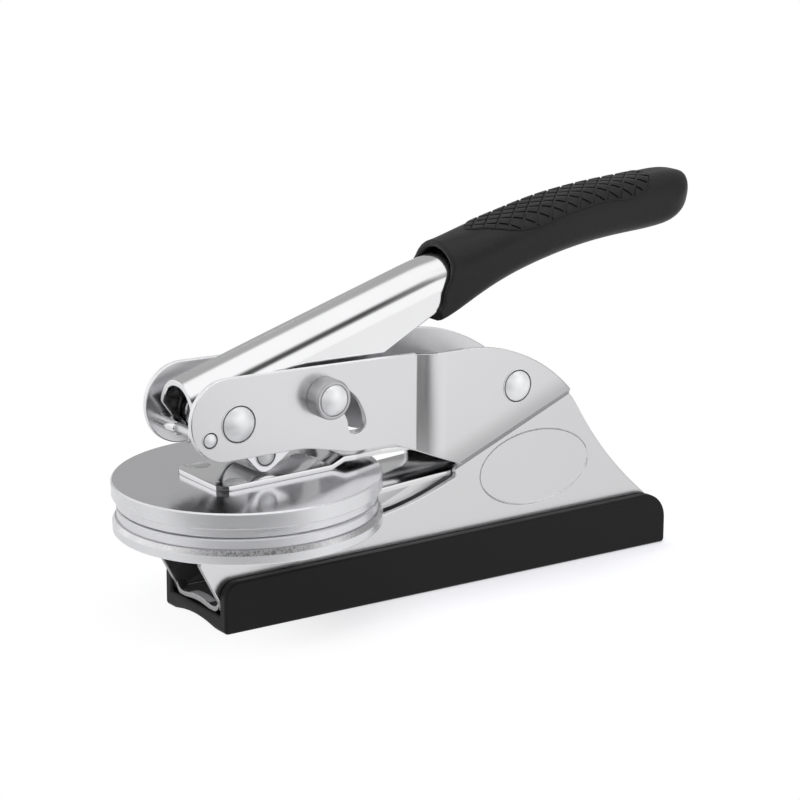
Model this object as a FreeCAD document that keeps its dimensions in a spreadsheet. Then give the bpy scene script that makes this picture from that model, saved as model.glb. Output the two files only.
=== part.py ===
import FreeCAD, Part
import math
import os
import Sketcher
from FreeCAD import Placement, Rotation, Vector

# Seal embosser: a folded steel frame in a moulded shoe, a spring insert that
# carries two dies, and a sprung lever whose roller presses the dies together.
#
# Frame of the model, in millimetres: X runs from the dies (-X) to the grip
# (+X), Y across the tool, Z up. The origin is the centre of the shoe's foot.
# A side view is drawn in X and Z; everything is symmetric about Y = 0 unless
# its name says otherwise.

SIZES = [
    # --- shoe -------------------------------------------------------------
    ("shoe_length", 105.0, "length of the moulded shoe"),
    ("shoe_wall", 2.2, "thickness of the shoe's side walls"),
    ("shoe_floor", 3.2, "thickness of the shoe's floor"),
    ("shoe_front_rise", 9.9, "top of the side walls at the front"),
    ("shoe_rear_rise", 10.8, "top of the side walls at the rear"),
    ("shoe_front_round", 3.4, "round of the walls' front top corner"),
    ("shoe_rear_round", 5.5, "round of the walls' rear top corner"),
    ("shoe_foot_round", 0.8, "round of the foot's end corners"),
    ("relief_depth", 6.0, "how far the relief runs in under each end"),
    ("relief_rise", 1.3, "height of the arched relief"),
    ("relief_span", 17.0, "width of the arched relief"),
    # --- folded frame -----------------------------------------------------
    ("sheet", 1.2, "thickness of the frame's steel"),
    ("channel_width", 17.8, "outside width of the channel"),
    ("hump_step", 2.1, "how far the hump stands proud of each wall"),
    ("fold_radius", 1.6, "outer radius of the channel's long folds"),
    ("channel_front", -51.6, "front end of the channel's floor"),
    ("channel_rear", 51.0, "rear end of the channel"),
    ("channel_beak", -57.2, "foremost point of the channel's walls"),
    ("heel_height", 8.6, "height of the frame at its rear end"),
    ("throat_end", 1.0, "rear end of the throat"),
    ("throat_low", 21.5, "lower corner of the throat's end"),
    ("throat_high", 24.7, "upper corner of the throat's end"),
    ("cheek_low", 32.55, "lower edge of the cheeks at the nose"),
    ("cheek_notch", 30.2, "lower edge of the cheeks before the bend"),
    ("cheek_top", 48.4, "upper edge of the cheeks at the nose"),
    ("hump_top", 47.4, "upper edge of the hump"),
    ("hump_round", 34.9, "radius of the hump's shoulder"),
    ("bend_start", -8.45, "line where the cheeks start to flare"),
    ("bend_end", -4.7, "line where the flare reaches the hump"),
    ("toe_round", 1.2, "rounds of the channel's walls at their front"),
    ("toe_lean", 0.4, "lean of the walls' front edge over the floor"),
    ("toe_height", 0.6, "height of that lean above the floor"),
    ("toe_sweep", 4.0, "round above it"),
    ("jaw_rise_x", -12.8, "bend of the channel's upper edge under the dies"),
    ("jaw_rise_z", 16.45, "bend of the channel's upper edge under the dies"),
    ("jaw_sweep", 60.0, "radius of that bend"),
    ("throat_lean", 0.2, "lean of the throat's lower corner"),
    ("throat_step", 0.5, "upper corner of the throat ahead of its end"),
    ("throat_round", 0.7, "rounds of the throat's corners"),
    ("notch_ahead", 5.0, "rear corner of the cheeks' notch before the bend"),
    ("notch_round", 2.0, "round of that corner"),
    ("notch_behind", 6.0, "front of the notch behind the slots' centre"),
    ("notch_sweep", 8.0, "round at the notch's front"),
    ("cheek_dip", 4.5, "where the cheeks' edge levels out before the slots"),
    ("cheek_sweep", 20.0, "radius of that bend"),
    ("nose_reach", 10.05, "nose ahead of the lever pivot"),
    ("shoulder_x", 16.7, "corner of the hump's shoulder"),
    ("flank_x", 29.5, "upper bend of the hump's rear edge"),
    ("flank_z", 33.6, "upper bend of the hump's rear edge"),
    ("flank_sweep", 20.0, "radius of that bend"),
    ("tail_bend_x", 38.4, "lower bend of the hump's rear edge"),
    ("tail_bend_z", 19.3, "lower bend of the hump's rear edge"),
    ("tail_sweep", 80.0, "radius of that bend"),
    ("crease_x", 0.0, "lower end of the crease, along the tool"),
    ("crease_z", 24.7, "lower end of the crease, height"),
    ("crease_angle", 22.4, "rise of the crease in degrees"),
    ("crease_run", 1.9, "width of the ledge under the crease"),
    ("oval_x", 20.3, "centre of the bare oval"),
    ("oval_z", 20.6, "height of the oval's centre"),
    ("oval_long", 13.3, "half length of the oval"),
    ("oval_short", 7.5, "half height of the oval"),
    ("oval_depth", 0.15, "depth of the oval's recess"),
    # --- rivets -----------------------------------------------------------
    ("pivot_x", -47.9, "lever pivot"),
    ("pivot_z", 39.4, "lever pivot"),
    ("pivot_shank", 1.95, "radius of the pivot rivet"),
    ("pivot_head", 3.7, "radius of its head"),
    ("pivot_dome", 1.5, "height of its head"),
    ("rod_x", -54.0, "front cross rod"),
    ("rod_z", 37.2, "front cross rod"),
    ("rod_shank", 0.85, "radius of the cross rod"),
    ("rod_head", 1.7, "radius of its heads"),
    ("rod_dome", 0.7, "height of its heads"),
    ("rear_x", 14.1, "rear rivet"),
    ("rear_z", 38.4, "rear rivet"),
    ("rear_shank", 0.95, "radius of the rear rivet"),
    ("rear_head", 3.4, "radius of its heads"),
    ("rear_dome", 1.3, "height of its heads"),
    ("rear_tube", 1.35, "outer radius of the spacer tube"),
    # --- dies -------------------------------------------------------------
    ("disc_x", -40.7, "axis of the dies"),
    ("disc_radius", 25.5, "radius of the two die holders"),
    ("die_inset", 0.85, "edge of the dies inside the holders' edge"),
    ("disc_foot", 17.2, "underside of the bottom holder at the axis"),
    ("lower_holder_thick", 2.65, "thickness of the bottom holder"),
    ("lower_die_thick", 1.95, "thickness of the lower die"),
    ("die_gap", 0.35, "gap for the paper between the dies"),
    ("upper_die_thick", 1.75, "thickness of the upper die"),
    ("upper_holder_thick", 3.1, "thickness of the top holder"),
    ("holder_bevel", 0.4, "bevel of the top holder's upper edge"),
    ("knurl_band", 0.9, "height of the bottom holder's knurled chamfer"),
    ("knurl_inset", 0.5, "how far the knurled chamfer leans in"),
    ("disc_tilt", 1.5, "rise of both arms towards the rear in degrees"),
    # --- leaves -----------------------------------------------------------
    ("leaf_thick", 1.05, "thickness of the spring leaves"),
    ("leaf_width", 17.4, "width of the leaves on the dies"),
    ("leaf_tail_width", 15.0, "width of the leaves between the walls"),
    ("leaf_front", 10.8, "reach of the leaves ahead of the disc axis"),
    ("leaf_corner", 2.6, "round of the leaves' front corners"),
    ("joggle_start", 13.5, "start of the upper leaf's joggle behind the axis"),
    ("joggle_end", 16.4, "end of the joggle behind the axis"),
    ("joggle_rise", 1.15, "height of the joggle"),
    ("neck_start", 19.0, "start of the leaves' taper behind the axis"),
    ("neck_end", 25.5, "end of the taper behind the axis"),
    ("kink_gap", 0.35, "start of the lower leaf's rise behind the die's edge"),
    ("leaf_neck_round", 4.0, "rounds in the leaves' outline"),
    ("leaf_bend_round", 1.5, "rounds of the leaves' bends"),
    ("hairpin_x", 15.0, "where the leaves meet the hairpin bend"),
    ("hairpin_z", 25.6, "height of the bend's centre"),
    ("hairpin_radius", 2.55, "mean radius of the bend"),
    ("hairpin_stub", 2.0, "straight ends of the bend"),
    ("leaf_end_gap", 0.06, "gap between a leaf and the bend"),
    ("front_rivet_radius", 1.95, "radius of the leaf's front rivets"),
    ("front_rivet_ahead", 6.3, "front rivets ahead of the disc axis"),
    ("front_rivet_side", 6.4, "front rivets from the middle plane"),
    ("rear_rivet_radius", 1.6, "radius of the leaf's rear rivet"),
    ("rear_rivet_behind", 11.6, "rear leaf rivet behind the disc axis"),
    ("leaf_rivet_grip", 1.8, "how deep the leaf rivets go into the holder"),
    # --- lever ------------------------------------------------------------
    ("lever_sheet", 1.2, "thickness of the lever's steel"),
    ("lever_width", 12.4, "outside width of the lever"),
    ("lever_round", 6.0, "outer radius of the lever's top folds"),
    ("lever_front", -55.8, "front end of the lever"),
    ("lever_front_low", 41.8, "lower corner of the lever's front end"),
    ("lever_front_top", 46.85, "top of the lever's front end"),
    ("lever_knee_x", -39.3, "slight knee of the lever's top line"),
    ("lever_knee_z", 52.0, "slight knee of the lever's top line"),
    ("lever_collar_x", -3.1, "where the top line enters the grip"),
    ("lever_collar_z", 63.15, "where the top line enters the grip"),
    ("tang_end", 33.0, "rear end of the tang in the grip"),
    ("tang_top", 70.1, "top of the tang's end"),
    ("tang_low", 67.0, "underside of the tang's end"),
    ("crown_sweep", 60.0, "radius of the bends in the lever's top line"),
    ("tang_bend_x", 11.9, "bend between the lever and its tang"),
    ("tang_bend_top", 66.55, "top line at that bend"),
    ("tang_bend_low", 61.6, "lower edge of the walls at that bend"),
    ("tang_sweep", 20.0, "radius of the lower edge's bend at the tang"),
    ("flange_bend_x", -1.6, "bend of the walls' lower edge at the grip"),
    ("flange_bend_z", 54.2, "bend of the walls' lower edge at the grip"),
    ("flange_sweep", 30.0, "radius of that bend"),
    ("haunch_x", -14.3, "lowest rear corner of the walls"),
    ("haunch_z", 47.5, "lowest rear corner of the walls"),
    ("haunch_round", 10.0, "round of that corner"),
    ("wall_round", 1.0, "small rounds of the lever's walls"),
    ("ear_radius", 3.2, "round of the ears"),
    ("pivot_boss", 4.6, "depth of the lever's walls under the pivot"),
    ("chin_behind", 0.5, "rear end of the walls' edge under the pivot"),
    ("chin_round", 4.0, "round at that end"),
    ("jaw_ahead", 3.2, "front end of the walls' edge under the pivot"),
    ("jaw_rise", 0.4, "rise of that edge to its front end"),
    ("jaw_round", 2.5, "round at its front end"),
    ("bush_radius", 2.9, "outer radius of the pivot bush"),
    ("running_clearance", 0.05, "radial clearance of the shafts in their holes"),
    ("side_clearance", 0.05, "clearance of the bush's ends from the cheeks"),
    # --- roller -----------------------------------------------------------
    ("roller_x", -40.5, "roller axis"),
    ("roller_radius", 3.45, "radius of the roller"),
    ("roller_length", 8.8, "length of the roller"),
    ("roller_clearance", 0.2, "roller above the upper leaf when the tool is open"),
    ("roller_pin", 1.4, "radius of the roller pin"),
    ("roller_pin_head", 2.2, "radius of the pin's heads"),
    ("roller_pin_dome", 0.8, "height of the pin's heads"),
    # --- spring -----------------------------------------------------------
    ("wire_radius", 0.45, "radius of the spring wire"),
    ("coil_clearance", 0.2, "coil off the bush"),
    ("coil_turns", 5.0, "turns of the coil"),
    ("coil_pitch", 1.05, "pitch of the coil"),
    ("bend_swell", 0.018, "swelling of the wire where its front leg is bent off"),
    ("spring_leg_x", 17.4, "rear leg's hook behind the pivot"),
    ("spring_leg_z", -1.6, "rear leg's hook above the pivot"),
    # --- slide ------------------------------------------------------------
    ("slot_x", -28.8, "centre of the curved slots"),
    ("slot_z", 35.2, "centre of the curved slots"),
    ("slot_radius", 6.85, "mean radius of the curved slots"),
    ("slot_half_width", 1.9, "half width of the curved slots"),
    ("slot_start_angle", 95.0, "angle of the open end in degrees"),
    ("slot_swing_angle", 92.0, "angle the pin travels in degrees"),
    ("slide_clearance", 0.2, "slide pin off the slots' edges"),
    ("knob_radius", 3.85, "radius of the knobs' rings"),
    ("knob_reach", 4.9, "how far a knob stands out from the cheek"),
    ("knob_bevel", 0.5, "bevel of the rings' outer edge"),
    ("knob_cap", 3.0, "radius of the knobs' domed caps"),
    ("knob_cap_rise", 1.3, "height of the domed caps above the rings"),
    # --- travel -----------------------------------------------------------
    ("lever_travel_angle", 16.5, "full stroke of the lever in degrees"),
    ("lower_travel_angle", 1.5, "full stroke of the lower arm in degrees"),
    ("seat_gap", 0.06, "bottom holder above the channel at full stroke"),
    # --- grip -------------------------------------------------------------
    ("grip_mouth", 1.75, "upright part of the grip's front face"),
    ("grip_length", 60.75, "length of the grip behind that face"),
    ("grip_mouth_width", 14.9, "width of the grip at its mouth"),
    ("grip_width", 16.6, "greatest width of the grip"),
    ("grip_tail_width", 15.2, "width of the grip near its end"),
    ("mouth_top", 66.65, "top of the mouth"),
    ("mouth_low", 52.9, "underside at the mouth"),
    ("neck_share", 0.07, "first station as a share of the length"),
    ("neck_top", 67.45, "top of the first station"),
    ("neck_low", 55.2, "underside of the first station"),
    ("bow_share", 0.2, "second station as a share of the length"),
    ("bow_top", 69.15, "top of the second station"),
    ("bow_low", 58.8, "underside of the second station"),
    ("loin_share", 0.31, "third station as a share of the length"),
    ("loin_top", 70.65, "top of the third station"),
    ("loin_low", 60.9, "underside of the third station"),
    ("waist_share", 0.42, "fourth station as a share of the length"),
    ("waist_top", 72.15, "top of the fourth station"),
    ("waist_low", 62.5, "underside of the fourth station"),
    ("back_share", 0.54, "fifth station as a share of the length"),
    ("back_top", 73.4, "top of the fifth station"),
    ("back_low", 63.7, "underside of the fifth station"),
    ("rise_share", 0.67, "sixth station as a share of the length"),
    ("rise_top", 74.3, "top of the sixth station"),
    ("rise_low", 64.45, "underside of the sixth station"),
    ("rump_share", 0.84, "station where the end starts to round"),
    ("rump_top", 75.2, "top of that station"),
    ("rump_low", 65.1, "underside of that station"),
    ("tip_height", 72.0, "height of the tip of the rounded end"),
    ("tip_rise", 1.1, "rise of the grip's line over its rounded end"),
    ("tip_lean_angle", 13.0, "lean of the rounded end in degrees"),
    ("lip_x", -1.7, "foremost point of the lower lip"),
    ("lip_z", 54.0, "foremost point of the lower lip"),
    ("lip_low", 52.1, "underside of the lower lip"),
    ("cove_x", -0.75, "hollow of the front face above the lip"),
    ("cove_z", 55.4, "hollow of the front face above the lip"),
    ("brow_x", -0.5, "end of the hollow"),
    ("brow_z", 57.6, "end of the hollow"),
    ("brow_top", 62.4, "lower end of the upright part"),
    ("socket_top", 65.35, "top of the widened mouth of the socket"),
    ("socket_low", 57.0, "underside of the widened mouth"),
    ("socket_depth", 3.6, "depth of the widened mouth"),
]

doc = FreeCAD.newDocument("seal_embosser")
sheet = doc.addObject("Spreadsheet::Sheet", "Sizes")
for row, (alias, value, meaning) in enumerate(SIZES, 1):
    sheet.set("A%d" % row, alias)
    sheet.set("B%d" % row, str(value))
    sheet.set("C%d" % row, meaning)
    sheet.setAlias("B%d" % row, alias)
doc.recompute()

Y_AXIS = Vector(0, 1, 0)
Z_AXIS = Vector(0, 0, 1)
PARTS = []


def size(alias):
    """The value of one cell of the sheet."""
    return float(sheet.get(alias))


# ---------------------------------------------------------------------------
# Helpers for bodies and their sketches
# ---------------------------------------------------------------------------

def new_body(label):
    body = doc.addObject("PartDesign::Body", label)
    body.Label = label
    PARTS.append(body)
    return body


def place_body(body, x=None, z=None, tilt=None):
    """Bind a body's placement to the sheet."""
    if x is not None:
        body.setExpression("Placement.Base.x", x)
    if z is not None:
        body.setExpression("Placement.Base.z", z)
    if tilt is not None:
        body.Placement = Placement(body.Placement.Base, Rotation(Y_AXIS, 1))
        body.setExpression("Placement.Rotation.Angle", tilt)


def new_sketch(body, role, name):
    """A sketch on one of the body's own origin planes."""
    sketch = body.newObject("Sketcher::SketchObject", name)
    plane = [item for item in body.Origin.OriginFeatures if item.Role == role][0]
    sketch.AttachmentSupport = [(plane, "")]
    sketch.MapMode = "FlatFace"
    return sketch


def bind(sketch, constraint, expression):
    index = sketch.addConstraint(constraint)
    sketch.setExpression("Constraints[%d]" % index, expression)


def draw_polygon(sketch, corners):
    """Closed polygon; each corner is a pair of expressions."""
    doc.recompute()
    spots = [Vector(float(sketch.evalExpression(x)), float(sketch.evalExpression(y)), 0)
             for x, y in corners]
    first = sketch.GeometryCount
    count = len(corners)
    for index in range(count):
        sketch.addGeometry(Part.LineSegment(spots[index], spots[(index + 1) % count]))
    for index in range(count):
        following = first + (index + 1) % count
        sketch.addConstraint(Sketcher.Constraint("Coincident", first + index, 2, following, 1))
    for index, (x, y) in enumerate(corners):
        across, up = spots[index].x, spots[index].y
        bind(sketch, Sketcher.Constraint("DistanceX", -1, 1, first + index, 1, across), x)
        bind(sketch, Sketcher.Constraint("DistanceY", -1, 1, first + index, 1, up), y)


def draw_circle(sketch, x, y, radius):
    doc.recompute()
    across, up, reach = [float(sketch.evalExpression(item)) for item in (x, y, radius)]
    index = sketch.addGeometry(Part.Circle(Vector(across, up, 0), Z_AXIS, reach))
    bind(sketch, Sketcher.Constraint("DistanceX", -1, 1, index, 3, across), x)
    bind(sketch, Sketcher.Constraint("DistanceY", -1, 1, index, 3, up), y)
    bind(sketch, Sketcher.Constraint("Radius", index, reach), radius)


def pad(body, sketch, length, name):
    """Pad a sketch evenly to both sides of its plane."""
    feature = body.newObject("PartDesign::Pad", name)
    feature.Profile = sketch
    feature.SideType = "Symmetric"
    feature.setExpression("Length", length)
    doc.recompute()
    return feature


def pocket(body, sketch, length, name):
    """Cut a sketch evenly to both sides of its plane, and see that it cuts."""
    before = body.Shape.Volume
    feature = body.newObject("PartDesign::Pocket", name)
    feature.Profile = sketch
    feature.SideType = "Symmetric"
    feature.setExpression("Length", length)
    doc.recompute()
    if not feature.Shape.Volume < before:
        raise RuntimeError("%s cuts nothing" % name)
    return feature


def revolve(body, sketch, axis_role, name):
    """Full turn about one of the body's own axes."""
    feature = body.newObject("PartDesign::Revolution", name)
    feature.Profile = sketch
    axis = [item for item in body.Origin.OriginFeatures if item.Role == axis_role][0]
    feature.ReferenceAxis = (axis, [""])
    feature.Angle = 360
    doc.recompute()
    return feature


def round_edges(body, base, chosen, radius, name, kind="PartDesign::Fillet"):
    """Fillet the edges of a feature that the test 'chosen' picks."""
    names = []
    for index, edge in enumerate(base.Shape.Edges, 1):
        if chosen(edge):
            names.append("Edge%d" % index)
    feature = body.newObject(kind, name)
    feature.Base = (base, names)
    feature.setExpression("Size" if kind.endswith("Chamfer") else "Radius", radius)
    doc.recompute()
    return feature


def near(value, target, slack=0.01):
    return abs(value - target) < slack


# ---------------------------------------------------------------------------
# Helpers for shapes that are folded, swept or lofted
# ---------------------------------------------------------------------------

def add_shape(label, shape, placement=None):
    feature = doc.addObject("Part::Feature", label)
    feature.Label = label
    feature.Shape = shape
    if placement is not None:
        feature.Placement = placement
    PARTS.append(feature)
    return feature


def side(x, z, y=0.0):
    return Vector(x, y, z)


def corner_round(before, here, after, radius):
    """Start, middle and end of the arc that rounds a corner."""
    back = (before - here).normalize()
    ahead = (after - here).normalize()
    half = back.getAngle(ahead) / 2
    reach = radius / math.tan(half)
    bisector = (back + ahead).normalize()
    middle = here + bisector * (radius / math.sin(half) - radius)
    return here + back * reach, middle, here + ahead * reach


def rounded_edges(corners, y, closed):
    """Lines and tangent arcs through corners given as (x, z) or (x, z, radius)."""
    count = len(corners)
    spots = [side(corner[0], corner[1], y) for corner in corners]
    arcs = []
    for index, corner in enumerate(corners):
        here = spots[index]
        if len(corner) > 2:
            after = spots[(index + 1) % count]
            arcs.append(corner_round(spots[index - 1], here, after, corner[2]))
        else:
            arcs.append((here, None, here))
    edges = []
    for index, (start, middle, end) in enumerate(arcs):
        if middle is not None:
            edges.append(Part.Arc(start, middle, end).toShape())
        if index + 1 == count and not closed:
            break
        following = arcs[(index + 1) % count][0]
        if end.distanceToPoint(following) > 1e-6:
            edges.append(Part.LineSegment(end, following).toShape())
    return edges


def rounded_outline(corners, y=0.0):
    """Face in a side plane with some of its corners rounded."""
    return Part.Face(Part.Wire(rounded_edges(corners, y, True)))


def across(face, half_width):
    """Extrude a side face evenly to both sides."""
    face = face.copy()
    face.translate(Vector(0, -half_width, 0))
    return face.extrude(Vector(0, 2 * half_width, 0))


def cross_cylinder(x, z, radius, half_width):
    return Part.makeCylinder(radius, 2 * half_width, side(x, z, -half_width), Y_AXIS)


def arc_slot(x, z, radius, half_width, start, end, depth):
    """Curved slot about (x, z), cut across the tool between two angles."""
    def spot(reach, degrees):
        angle = math.radians(degrees)
        return side(x + reach * math.cos(angle), z + reach * math.sin(angle))
    middle = (start + end) / 2
    outer, inner = radius + half_width, radius - half_width
    edges = [
        Part.Arc(spot(outer, start), spot(outer, middle), spot(outer, end)).toShape(),
        Part.LineSegment(spot(outer, end), spot(inner, end)).toShape(),
        Part.Arc(spot(inner, end), spot(inner, middle), spot(inner, start)).toShape(),
        Part.LineSegment(spot(inner, start), spot(outer, start)).toShape(),
    ]
    cut = across(Part.Face(Part.Wire(edges)), depth)
    for degrees in (start, end):
        tip = spot(radius, degrees)
        cut = cut.fuse(cross_cylinder(tip.x, tip.z, half_width, depth))
    return cut.removeSplitter()


def turned(x, z, degrees):
    """A point about the origin after the lever has turned down by degrees."""
    angle = math.radians(degrees)
    return (x * math.cos(angle) + z * math.sin(angle),
            z * math.cos(angle) - x * math.sin(angle))


def line_height(x, start, end):
    """Height at x on the line through two side points."""
    return start[1] + (end[1] - start[1]) * (x - start[0]) / (end[0] - start[0])


# ---------------------------------------------------------------------------
# Sizes that follow from others
# ---------------------------------------------------------------------------

# reach past the part for the solids that cut it
spare = size("shoe_length") / 5
half_channel = size("channel_width") / 2
half_hump = half_channel + size("hump_step")
floor_top = size("shoe_floor") + size("sheet")
die_radius = size("disc_radius") - size("die_inset")
lower_die_foot = size("disc_foot") + size("lower_holder_thick")
upper_die_foot = lower_die_foot + size("lower_die_thick") + size("die_gap")
upper_holder_foot = upper_die_foot + size("upper_die_thick")
upper_leaf_foot = upper_holder_foot + size("upper_holder_thick")
leaf_top = upper_leaf_foot + size("leaf_thick")
roller_z = leaf_top + size("roller_clearance") + size("roller_radius")
upper_hinge_z = size("hairpin_z") + size("hairpin_radius")
lower_hinge_z = size("hairpin_z") - size("hairpin_radius")
lever_half = size("lever_width") / 2
slide_pin_radius = size("slot_half_width") - size("slide_clearance")


def pressed_disc_foot(x):
    """Underside of the bottom holder at x when the lower arm is down."""
    tilt = math.radians(size("disc_tilt"))
    arm = x - size("disc_x")
    spot = (size("disc_x") + arm * math.cos(tilt) - size("hairpin_x"),
            size("disc_foot") + arm * math.sin(tilt) - lower_hinge_z)
    down = turned(spot[0], spot[1], -size("lower_travel_angle"))
    return down[1] + lower_hinge_z


# ---------------------------------------------------------------------------
# Shoe
# ---------------------------------------------------------------------------

def make_base_shoe():
    body = new_body("base_shoe")
    profile = new_sketch(body, "XZ_Plane", "shoe_side")
    draw_polygon(profile, [
        ("-Sizes.shoe_length / 2", "0"),
        ("Sizes.shoe_length / 2", "0"),
        ("Sizes.shoe_length / 2", "Sizes.shoe_rear_rise"),
        ("-Sizes.shoe_length / 2", "Sizes.shoe_front_rise"),
    ])
    block = pad(body, profile, "Sizes.channel_width + 2 * Sizes.shoe_wall", "shoe_block")

    half = size("shoe_length") / 2
    rises = {-half: size("shoe_front_rise"), half: size("shoe_rear_rise")}

    def end_corner(edge, x, z):
        spots = [vertex.Point for vertex in edge.Vertexes]
        return all(near(spot.x, x) and near(spot.z, z) for spot in spots)

    front = round_edges(body, block, lambda edge: end_corner(edge, -half, rises[-half]),
                        "Sizes.shoe_front_round", "front_round")
    rear = round_edges(body, front, lambda edge: end_corner(edge, half, rises[half]),
                       "Sizes.shoe_rear_round", "rear_round")
    foot = round_edges(body, rear,
                       lambda edge: end_corner(edge, -half, 0) or end_corner(edge, half, 0),
                       "Sizes.shoe_foot_round", "foot_round")

    trough = new_sketch(body, "YZ_Plane", "trough_section")
    draw_polygon(trough, [
        ("-Sizes.channel_width / 2", "Sizes.shoe_floor"),
        ("Sizes.channel_width / 2", "Sizes.shoe_floor"),
        ("Sizes.channel_width / 2", "2 * Sizes.shoe_rear_rise"),
        ("-Sizes.channel_width / 2", "2 * Sizes.shoe_rear_rise"),
    ])
    pocket(body, trough, "2 * Sizes.shoe_length", "trough")

    # a shallow arch under each end, left between the two feet
    rise, span = size("relief_rise"), size("relief_span")
    arch_radius = (span * span / 4 + rise * rise) / (2 * rise)
    for name, sign in (("front", "-1"), ("rear", "1")):
        relief = body.newObject("PartDesign::SubtractiveCylinder", name + "_relief")
        relief.Radius = arch_radius
        relief.setExpression("Radius", "(Sizes.relief_span * Sizes.relief_span / 4"
                             " + Sizes.relief_rise * Sizes.relief_rise)"
                             " / (2 * Sizes.relief_rise)")
        relief.setExpression("Height", "2 * Sizes.relief_depth")
        relief.Placement = Placement(Vector(), Rotation(Y_AXIS, 90))
        relief.setExpression("Placement.Base.x",
                             sign + " * Sizes.shoe_length / 2 - Sizes.relief_depth")
        relief.setExpression("Placement.Base.z", "Sizes.relief_rise - "
                             "(Sizes.relief_span * Sizes.relief_span / 4"
                             " + Sizes.relief_rise * Sizes.relief_rise)"
                             " / (2 * Sizes.relief_rise)")
        doc.recompute()
    return body


# ---------------------------------------------------------------------------
# Folded frame
# ---------------------------------------------------------------------------

def frame_outline():
    """Side view of the frame's two C-shaped walls."""
    beak = size("channel_beak")
    beak_top = pressed_disc_foot(beak) - size("seat_gap")
    nose_round = 0.485 * (size("cheek_top") - size("cheek_low"))
    nose_x = size("pivot_x") - size("nose_reach")
    bend_x = size("bend_start")
    return rounded_outline([
        (size("channel_front"), size("shoe_floor"), size("toe_round")),
        (size("channel_front") - size("toe_lean"), floor_top + size("toe_height"),
         size("toe_sweep")),
        (beak, beak_top, size("toe_round")),
        (size("jaw_rise_x"), size("jaw_rise_z"), size("jaw_sweep")),
        (size("throat_end") + size("throat_lean"), size("throat_low"), size("throat_round")),
        (size("throat_end") - size("throat_step"), size("throat_high"),
         size("throat_round")),
        (bend_x - size("notch_ahead"), size("cheek_notch"), size("notch_round")),
        (size("slot_x") + size("notch_behind"), size("cheek_notch"), size("notch_sweep")),
        (size("slot_x") - size("cheek_dip"), size("cheek_low"), size("cheek_sweep")),
        (nose_x, size("cheek_low"), nose_round),
        (nose_x, size("cheek_top"), nose_round),
        (bend_x, size("hump_top")),
        (size("shoulder_x"), size("hump_top"), size("hump_round")),
        (size("flank_x"), size("flank_z"), size("flank_sweep")),
        (size("tail_bend_x"), size("tail_bend_z"), size("tail_sweep")),
        (size("channel_rear"), size("heel_height")),
        (size("channel_rear"), size("shoe_floor")),
    ])


def solid_between(low, high):
    """Solid with flat faces between two matching polygons of corner points."""
    count = len(low)
    rings = [low, high]
    rings += [[low[index], low[(index + 1) % count], high[(index + 1) % count], high[index]]
              for index in range(count)]
    faces = [Part.Face(Part.makePolygon(ring + ring[:1])) for ring in rings]
    solid = Part.makeSolid(Part.makeShell(faces))
    if solid.Volume < 0:
        solid.reverse()
    return solid


def hump_wedge(side_sign, setback):
    """Raised region of one wall, as a solid between the two wall planes.

    Its flared front and its ledge under the crease lean at the angles that
    the bend lines give. A setback moves it inwards by the sheet."""
    far_x = size("channel_rear") + spare
    far_z = size("cheek_top") + spare
    slope = math.tan(math.radians(size("crease_angle")))
    drop = size("crease_run") / math.cos(math.radians(size("crease_angle")))

    def section(y, front_x, lower_by):
        def crease(x):
            return size("crease_z") + slope * (x - size("crease_x")) - lower_by
        return [side(front_x, crease(front_x), y), side(far_x, crease(far_x), y),
                side(far_x, far_z, y), side(front_x, far_z, y)]

    root = section(side_sign * half_channel / 2, size("bend_start"), drop)
    low = section(side_sign * (half_channel - setback), size("bend_start"), drop)
    high = section(side_sign * (half_hump - setback), size("bend_end"), 0.0)
    return solid_between(low, high).fuse(solid_between(root, low))


def make_body_frame():
    sheet_metal = size("sheet")
    length = size("channel_rear") - size("channel_beak") + 2 * spare
    start = size("channel_beak") - spare
    height = size("cheek_top") + spare

    outer = Part.makeBox(length, 2 * half_channel, height,
                         Vector(start, -half_channel, size("shoe_floor")))
    folds = [edge for edge in outer.Edges
             if near(edge.BoundBox.ZMax, size("shoe_floor")) and edge.BoundBox.XLength > 1]
    outer = outer.makeFillet(size("fold_radius"), folds)
    inner = Part.makeBox(length, 2 * (half_channel - sheet_metal), height,
                         Vector(start, sheet_metal - half_channel, floor_top))
    folds = [edge for edge in inner.Edges
             if near(edge.BoundBox.ZMax, floor_top) and edge.BoundBox.XLength > 1]
    inner = inner.makeFillet(size("fold_radius") - sheet_metal, folds)
    for sign in (-1, 1):
        outer = outer.fuse(hump_wedge(sign, 0.0))
        inner = inner.fuse(hump_wedge(sign, sheet_metal))
    folded = outer.cut(inner)
    frame = folded.common(across(frame_outline(), 2 * half_hump))

    depth = 2 * half_hump
    for x, z, radius in ((size("pivot_x"), size("pivot_z"), size("pivot_shank")),
                         (size("rod_x"), size("rod_z"), size("rod_shank")),
                         (size("rear_x"), size("rear_z"), size("rear_shank"))):
        frame = frame.cut(cross_cylinder(x, z, radius, depth))
    slot = arc_slot(size("slot_x"), size("slot_z"), size("slot_radius"),
                    size("slot_half_width"), size("slot_start_angle"),
                    size("slot_start_angle") - size("slot_swing_angle"), depth)
    frame = frame.cut(slot)

    # bare oval, let into the near wall only
    oval = Part.Ellipse(side(size("oval_x"), size("oval_z")), size("oval_long"),
                        size("oval_short")).toShape()
    oval.rotate(side(size("oval_x"), size("oval_z")), Vector(1, 0, 0), 90)
    stamp = Part.Face(Part.Wire([oval]))
    stamp.translate(Vector(0, -half_channel - 1, 0))
    stamp = stamp.extrude(Vector(0, 1 + size("oval_depth"), 0))
    frame = frame.cut(stamp).removeSplitter()
    return add_shape("body_frame", frame)


# ---------------------------------------------------------------------------
# Rivets, tubes and pins
# ---------------------------------------------------------------------------

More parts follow.
